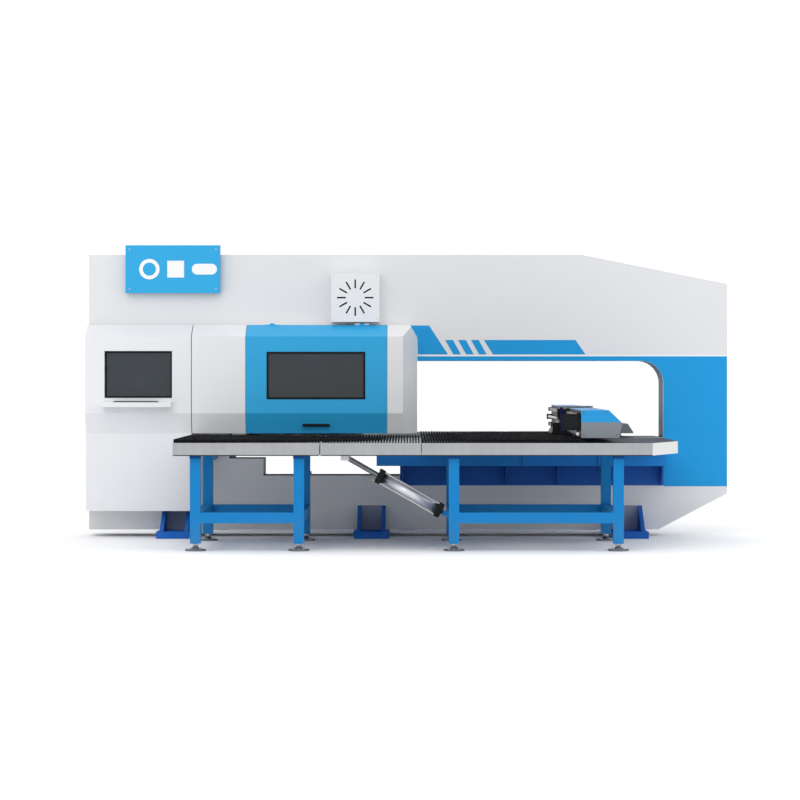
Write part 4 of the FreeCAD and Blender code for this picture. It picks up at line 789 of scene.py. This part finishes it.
def add_thread(bm, start, end, radius, lead, depth, sides=14, rings_per_turn=10):
    """A threaded rod from start to end, along X or Y."""
    axis = (end - start).normalized()
    side = axis.orthogonal().normalized()
    other = axis.cross(side)
    long = (end - start).length
    count = round(long / lead * rings_per_turn)
    previous = None
    for step in range(count + 1):
        along = long * step / count
        ring = []
        for k in range(sides):
            angle = 2 * math.pi * k / sides
            wave = 0.5 + 0.5 * math.cos(angle - 2 * math.pi * along / lead)
            reach = radius - depth * (1.0 - wave) ** 2
            out = side * math.cos(angle) + other * math.sin(angle)
            ring.append(bm.verts.new(start + axis * along + out * reach))
        if previous:
            for k in range(sides):
                n = (k + 1) % sides
                bm.faces.new((previous[k], previous[n], ring[n], ring[k]))
        else:
            bm.faces.new(ring[::-1])
        previous = ring
    bm.faces.new(previous)


class PRESS_OT_ball_screws(bpy.types.Operator):
    """Threaded ball screws in place of the plain rods."""
    bl_idname = "press.ball_screws"
    bl_label = "Ball screws"

    def execute(self, context):
        made = finishes()
        for name, node, body, lead in (("x_screw_thread", "x_ball_screw", "x_screw", 0.040),
                                       ("y_screw_thread", "y_ball_screw", "y_screw", 0.025)):
            low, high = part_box(node)
            middle = (low + high) / 2
            if high.x - low.x > high.y - low.y:
                start, end = Vector((low.x, middle.y, middle.z)), Vector((high.x, middle.y, middle.z))
            else:
                start, end = Vector((middle.x, low.y, middle.z)), Vector((middle.x, high.y, middle.z))
            bm = bmesh.new()
            add_thread(bm, start, end, (high.z - low.z) / 2, lead, 0.0035)
            finish_piece(name, bm, body, made["bright_steel"], smooth=True, replaces=(node,))
        return {"FINISHED"}


class PRESS_OT_chute_cylinder(bpy.types.Operator):
    """Tie-rod cylinder that holds the chute: tube, square heads, pin lugs, tie rods and nuts."""
    bl_idname = "press.chute_cylinder"
    bl_label = "Chute cylinder"

    TUBE = 0.050
    HEADS = (0.0275, 0.5535)
    HEAD_HALF = 0.0575
    HEAD_THICK = 0.045
    ROD_OFFSET = 0.046

    def execute(self, context):
        made = finishes()
        base = Vector((0.284, -2.25, 0.278))
        tip = Vector((-0.490, -2.25, 0.720))
        axis = (tip - base).normalized()
        across = Vector((0, 1, 0))
        upward = axis.cross(across)
        tube = bmesh.new()
        add_lathe(tube, base + axis * 0.070, axis, [(0.0, self.TUBE), (0.486, self.TUBE)], 40)
        finish_piece("cylinder_tube", tube, "cylinder_barrel", made["tube_steel"],
                     smooth=True, replaces=("cylinder_barrel",))
        heads = bmesh.new()
        turn = Matrix((axis, across, upward)).transposed()
        for start in self.HEADS:
            self.turned_box(heads, base, turn, (start, -self.HEAD_HALF, -self.HEAD_HALF),
                            (start + self.HEAD_THICK, self.HEAD_HALF, self.HEAD_HALF))
        for side in (-1, 1):
            self.turned_box(heads, base, turn, (-0.016, side * 0.013 - 0.006, -0.016),
                            (0.030, side * 0.013 + 0.006, 0.016))
        finish_piece("cylinder_heads", heads, "cylinder_barrel", made["motor_black"],
                     bevel=0.003)
        rods = bmesh.new()
        nut = [(0.0, 0.0105), (0.008, 0.0105)]
        for y in (-self.ROD_OFFSET, self.ROD_OFFSET):
            for z in (-self.ROD_OFFSET, self.ROD_OFFSET):
                start = base + across * y + upward * z + axis * 0.020
                add_lathe(rods, start, axis, [(0.0, 0.006), (0.584, 0.006)], 12)
                add_lathe(rods, start + axis * 0.001, axis, nut, 6)
                add_lathe(rods, start + axis * 0.5785, axis, nut, 6)
        finish_piece("cylinder_tie_rods", rods, "cylinder_barrel", made["bright_steel"])
        return {"FINISHED"}

    @staticmethod
    def turned_box(bm, origin, turn, low, high):
        before = set(bm.verts)
        add_box(bm, low, high)
        for vertex in set(bm.verts) - before:
            vertex.co = origin + turn @ vertex.co


class PRESS_OT_door_trim(bpy.types.Operator):
    """Rubber seal round the door window."""
    bl_idname = "press.door_trim"
    bl_label = "Door trim"

    def execute(self, context):
        made = finishes()
        sizes = context.scene.press_trim
        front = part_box("front_door")[0].y
        bm = bmesh.new()
        add_rim(bm, (-1.171, 1.151), (-0.354, 1.544), sizes.seal_width, front - 0.0025, front + 0.006)
        finish_piece("window_seal", bm, "door", made["rubber_black"])
        return {"FINISHED"}


class PRESS_OT_console(bpy.types.Operator):
    """Screen bezel, keyboard base and keys of the control station."""
    bl_idname = "press.console"
    bl_label = "Control console"

    def execute(self, context):
        made = finishes()
        low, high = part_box("control_screen")
        bm = bmesh.new()
        rim = 0.012
        add_rim(bm, (low.x, low.z), (high.x, high.z), rim, low.y - 0.006, low.y)
        finish_piece("screen_bezel", bm, "machine", made["rubber_black"], bevel=0.001)
        low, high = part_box("keyboard_shelf")
        keys = bmesh.new()
        top = high.z
        left, near = low.x + 0.11, low.y + 0.022
        add_box(keys, (left - 0.012, near - 0.008, top), (left + 0.358, near + 0.100, top + 0.006))
        finish_piece("keyboard_base", keys, "machine", made["rubber_black"], bevel=0.002)
        keys = bmesh.new()
        for row in range(5):
            for column in range(18):
                x, y = left + 0.0193 * column, near + 0.0187 * row
                add_box(keys, (x, y, top + 0.006), (x + 0.016, y + 0.0155, top + 0.0095))
        finish_piece("keyboard_keys", keys, "machine", made["gearbox_grey"], bevel=0.0007)
        return {"FINISHED"}


class PRESS_OT_seams(bpy.types.Operator):
    """Black gaskets in the gaps between the guards, and a dark disc behind the vent's slots that paints shade
    into them.
    """
    bl_idname = "press.seams"
    bl_label = "Guard gaskets"

    def execute(self, context):
        made = finishes()
        bm = bmesh.new()
        outline = [(FRAME_FACE, 0.868), (FRAME_FACE - 0.259, 0.872), (FRAME_FACE - 0.324, 1.036),
                   (FRAME_FACE - 0.324, 1.668), (FRAME_FACE - 0.108, 1.764), (FRAME_FACE, 1.764)]
        add_prism(bm, outline, "YZ", (-1.7965, -1.7915))
        add_prism(bm, outline, "YZ", (-1.3468, -1.3448))
        finish_piece("hood_gasket", bm, "machine", made["rubber_black"])
        # A dark disc behind the vent's slots: painted shade so that the slots read dark.
        vent = bmesh.new()
        add_lathe(vent, (-0.44, FRAME_FACE - 0.125, 1.997), (0, 1, 0), [(0.0, 0.165), (0.006, 0.165)], 48)
        finish_piece("vent_slot_shade", vent, "machine", made["rubber_black"])
        return {"FINISHED"}


class PRESS_OT_table_trim(bpy.types.Operator):
    """Dark blue bands painted at the tops of the legs as the shadow of the bands' overhang, and the dark
    rubber edge under the bands.
    """
    bl_idname = "press.table_trim"
    bl_label = "Table trim"

    def execute(self, context):
        made = finishes()
        # Dark blue bands at the top of each leg: painted shadow cast by the overhanging bands.
        shadow_band_mesh = bmesh.new()
        for x in FRONT_LEGS:
            for y in (-LEG_FAR, -LEG_NEAR):
                add_box(shadow_band_mesh, (x - 0.043, y - 0.043, 0.706), (x + 0.043, y + 0.043, 0.733))
        finish_piece("leg_shadow_band", shadow_band_mesh, "machine", made["cap_blue"], bevel=0.003)
        for name, node, body in (("band_edge", "front_bands", "machine"),
                                 ("chute_band_edge", "chute_band", "chute")):
            low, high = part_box(node)
            edge = bmesh.new()
            spans = ((low.x, -0.679), (0.105, high.x)) if body == "machine" else ((low.x, high.x),)
            for left, right in spans:
                add_box(edge, (left, low.y - 0.0002, low.z - 0.003), (right, high.y + 0.01, low.z + 0.004))
            finish_piece(name, edge, body, made["rubber_black"])
        return {"FINISHED"}


class PRESS_OT_beam_machinery(bpy.types.Operator):
    """Feed motor, belt cover and rail stops on the beam, and the clamps' valves on the carriage."""
    bl_idname = "press.beam_machinery"
    bl_label = "Beam machinery"

    def execute(self, context):
        made = finishes()
        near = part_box("cross_beam")[0].y
        cover = bmesh.new()
        add_box(cover, (1.176, near - 0.012, 0.925), (1.328, near - 0.001, 1.052))
        add_box(cover, (1.190, near - 0.016, 0.940), (1.314, near - 0.012, 1.037))
        finish_piece("belt_cover", cover, "beam", made["motor_black"], bevel=0.003)
        motor = bmesh.new()
        for index in range(14):
            start = near + 0.006 + 0.015 * index
            add_box(motor, (1.190, start, 0.938), (1.276, start + 0.009, 1.024))
        add_box(motor, (1.196, near + 0.002, 0.944), (1.270, near + 0.235, 1.018))
        add_box(motor, (1.205, near + 0.15, 1.016), (1.261, near + 0.21, 1.040))
        finish_piece("feed_motor", motor, "beam", made["motor_black"], bevel=0.0015)
        pulley = bmesh.new()
        add_lathe(pulley, (1.304, near - 0.012, 0.896), (0, 1, 0),
                  [(0.0, 0.009), (0.002, 0.017), (0.010, 0.017), (0.012, 0.012), (0.030, 0.012)], 28)
        finish_piece("rail_end_stop", pulley, "beam", made["bright_steel"], smooth=True)
        stops = bmesh.new()
        for height in (0.905, 1.040):
            for end in (near + 0.012, -near - 0.036):
                add_box(stops, (1.298, end, height - 0.018), (1.3285, end + 0.024, height + 0.018))
        finish_piece("rail_buffers", stops, "beam", made["rubber_black"], bevel=0.003)
        low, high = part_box("carriage")
        valves = bmesh.new()
        for index in range(5):
            start = low.y + 0.03 + 0.026 * index
            add_box(valves, (low.x - 0.020, start, 1.005), (low.x - 0.0005, start + 0.020, 1.070))
        add_box(valves, (low.x - 0.016, low.y + 0.022, 0.985), (low.x - 0.0005, low.y + 0.17, 1.004))
        finish_piece("clamp_valves", valves, "carriage", made["motor_black"], bevel=0.002)
        hoses = bmesh.new()
        for start in (low.y + 0.05, low.y + 0.29):
            add_lathe(hoses, (low.x - 0.012, start, 0.956), (0, 0, 1), [(0.0, 0.005), (0.050, 0.005)], 12)
            add_lathe(hoses, (low.x - 0.012, start, 0.956), (0, 0, 1), [(0.0, 0.009), (0.014, 0.009)], 6)
        finish_piece("clamp_fittings", hoses, "carriage", made["bright_steel"])
        return {"FINISHED"}


class PRESS_OT_fasteners(bpy.types.Operator):
    """Cover screws, nuts under the feet and fins on the main motor."""
    bl_idname = "press.fasteners"
    bl_label = "Fasteners"

    def execute(self, context):
        made = finishes()
        low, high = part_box("sign_panel")
        inset = 0.035
        places = self.corners(low, high, inset)
        screws("board_screws", "machine", places, (0, -1, 0), made["bright_steel"],
               0.007, 0.003)
        low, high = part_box("vent_box")
        inset = 0.022
        places = self.corners(low, high, inset)
        screws("vent_screws", "machine", places, (0, -1, 0), made["bright_steel"],
               0.005, 0.002)
        low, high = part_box("beam_end_covers")
        places = [(x, low.y, z)
                  for x, z in ((1.350, 0.890), (1.350, 1.060), (1.520, 1.060), (1.600, 0.890))]
        screws("end_cover_screws", "beam", places, (0, -1, 0), made["dark_steel"])
        places = [(x, high.y, z) for x, _, z in places]
        screws("end_cover_screws_rear", "beam", places, (0, 1, 0), made["dark_steel"])
        low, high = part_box("rear_guard")
        places = [(low.x + 0.04 + 0.298 * k, high.y, z) for k in range(7) for z in (1.08, 1.63)]
        screws("rear_guard_screws", "machine", places, (0, 1, 0), made["bright_steel"],
               0.008, 0.003)
        nuts = bmesh.new()
        nut = [(0.0, 0.021), (0.002, 0.024), (0.013, 0.024), (0.0155, 0.021)]
        feet = [(x, y) for x in FRONT_LEGS for y in (-LEG_FAR, -LEG_NEAR)]
        feet += [(x, y) for x in REAR_LEGS for y in (LEG_NEAR, LEG_FAR)]
        for x, y in feet:
            add_lathe(nuts, (x, y, 0.041), (0, 0, 1), nut, 6)
            for k in range(4):
                angle = math.radians(45 + 90 * k)
                spot = (x + 0.056 * math.cos(angle), y + 0.056 * math.sin(angle), 0.0135)
                add_lathe(nuts, spot, (0, 0, 1), [(0.0, 0.010), (0.006, 0.010), (0.009, 0.006)], 6)
        finish_piece("foot_nuts", nuts, "machine", made["bright_steel"])
        low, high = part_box("main_motor")
        centre = (low + high) / 2
        fins = bmesh.new()
        radius = (high.x - low.x) / 2
        for k in range(40):
            angle = 2 * math.pi * k / 40
            before = set(fins.verts)
            add_box(fins, (radius - 0.004, low.y + 0.05, -0.002), (radius + 0.016, high.y - 0.05, 0.002))
            turn = Matrix.Rotation(angle, 3, "Y")
            for vertex in set(fins.verts) - before:
                vertex.co = Vector((centre.x, 0, centre.z)) + turn @ vertex.co
        finish_piece("motor_fins", fins, "machine", made["motor_black"])
        return {"FINISHED"}

    @staticmethod
    def corners(low, high, inset):
        """Four places on a box's front face, inset from its corners."""
        return [(x, low.y, z) for x in (low.x + inset, high.x - inset)
                for z in (low.z + inset, high.z - inset)]


class PRESS_OT_studio(bpy.types.Operator):
    """Pale floor, soft lights and the camera."""
    bl_idname = "press.studio"
    bl_label = "Studio"

    def execute(self, context):
        lights = context.scene.press_light
        floor = bmesh.new()
        bmesh.ops.create_circle(floor, cap_ends=True, segments=96, radius=90.0)
        mesh = bpy.data.meshes.new("studio_floor")
        floor.to_mesh(mesh)
        floor.free()
        ground = bpy.data.objects.new("studio_floor", mesh)
        context.scene.collection.objects.link(ground)
        ground.location.z = -0.0005
        mesh.materials.append(self.floor_material())
        self.area_light("key_light", (-4.0, -16.0, 11.0), (0, 0, 1.0), 12.0, lights.key_power)
        self.area_light("side_light", (14.0, -8.0, 8.0), (0, 0, 1.0), 10.0, lights.fill_power)
        self.area_light("back_light", (0.0, 16.0, 11.0), (0, 0, 1.0), 12.0, lights.fill_power)
        world = bpy.data.worlds.new("studio_sky")
        world.use_nodes = True
        sky = world.node_tree.nodes["Background"]
        sky.inputs["Color"].default_value = (1.0, 1.0, 1.0, 1.0)
        sky.inputs["Strength"].default_value = lights.sky
        context.scene.world = world
        context.scene.view_settings.view_transform = "Standard"
        lens = bpy.data.cameras.new("front_camera")
        lens.lens = 142.1
        lens.sensor_width = 36.0
        lens.shift_x = -0.01
        lens.shift_y = -0.0275
        lens.clip_end = 300.0
        camera = bpy.data.objects.new("front_camera", lens)
        context.scene.collection.objects.link(camera)
        camera.location = (0.0, -26.742, 1.327)
        camera.rotation_euler = (math.radians(90), 0, 0)
        context.scene.camera = camera
        return {"FINISHED"}

    @staticmethod
    def floor_material():
        material, tree, shader = start_material("studio_floor")
        place = add_node(tree, "ShaderNodeTexCoord").outputs["Object"]
        drift = noise(tree, place, 0.6, 4.0)
        tone = mix_colour(tree, drift, (0.98, 0.98, 0.98, 1.0), (0.995, 0.995, 0.995, 1.0))
        tree.links.new(tone, shader.inputs["Base Color"])
        shader.inputs["Roughness"].default_value = 0.9
        return material

    @staticmethod
    def area_light(name, place, target, size, power):
        light = bpy.data.lights.new(name, "AREA")
        light.shape = "DISK"
        light.size = size
        light.energy = power
        lamp = bpy.data.objects.new(name, light)
        bpy.context.scene.collection.objects.link(lamp)
        lamp.location = place
        aim = Vector(target) - Vector(place)
        lamp.rotation_euler = aim.to_track_quat("-Z", "Y").to_euler()


class PRESS_PT_panel(bpy.types.Panel):
    """All steps of the press in one list."""
    bl_idname = "PRESS_PT_panel"
    bl_label = "Punch Press"
    bl_space_type = "VIEW_3D"
    bl_region_type = "UI"
    bl_category = "Punch Press"

    def draw(self, context):
        for group in ("press_paints", "press_brushes", "press_trim", "press_light"):
            settings = getattr(context.scene, group)
            for key in settings.bl_rna.properties.keys():
                if key not in {"rna_type", "name"}:
                    self.layout.prop(settings, key)
        for step in STEPS:
            self.layout.operator(step.bl_idname)


STEPS = (PRESS_OT_finishes, PRESS_OT_frame_stripes, PRESS_OT_name_board, PRESS_OT_console, PRESS_OT_seams,
         PRESS_OT_door_trim, PRESS_OT_brushes, PRESS_OT_table_trim, PRESS_OT_ball_screws,
         PRESS_OT_chute_cylinder, PRESS_OT_beam_machinery, PRESS_OT_fasteners, PRESS_OT_studio)
SETTINGS = (("press_paints", PressPaints), ("press_brushes", BrushSizes), ("press_trim", TrimSizes),
            ("press_light", StudioLight))


def register():
    for name, kind in SETTINGS:
        bpy.utils.register_class(kind)
        setattr(bpy.types.Scene, name, bpy.props.PointerProperty(type=kind))
    for kind in (*STEPS, PRESS_PT_panel):
        bpy.utils.register_class(kind)


def unregister():
    for kind in reversed((*STEPS, PRESS_PT_panel)):
        bpy.utils.unregister_class(kind)
    for name, kind in reversed(SETTINGS):
        delattr(bpy.types.Scene, name)
        bpy.utils.unregister_class(kind)


def main():
    register()
    for step in STEPS:
        section, action = step.bl_idname.split(".")
        getattr(getattr(bpy.ops, section), action)()


if __name__ == "__main__":
    main()
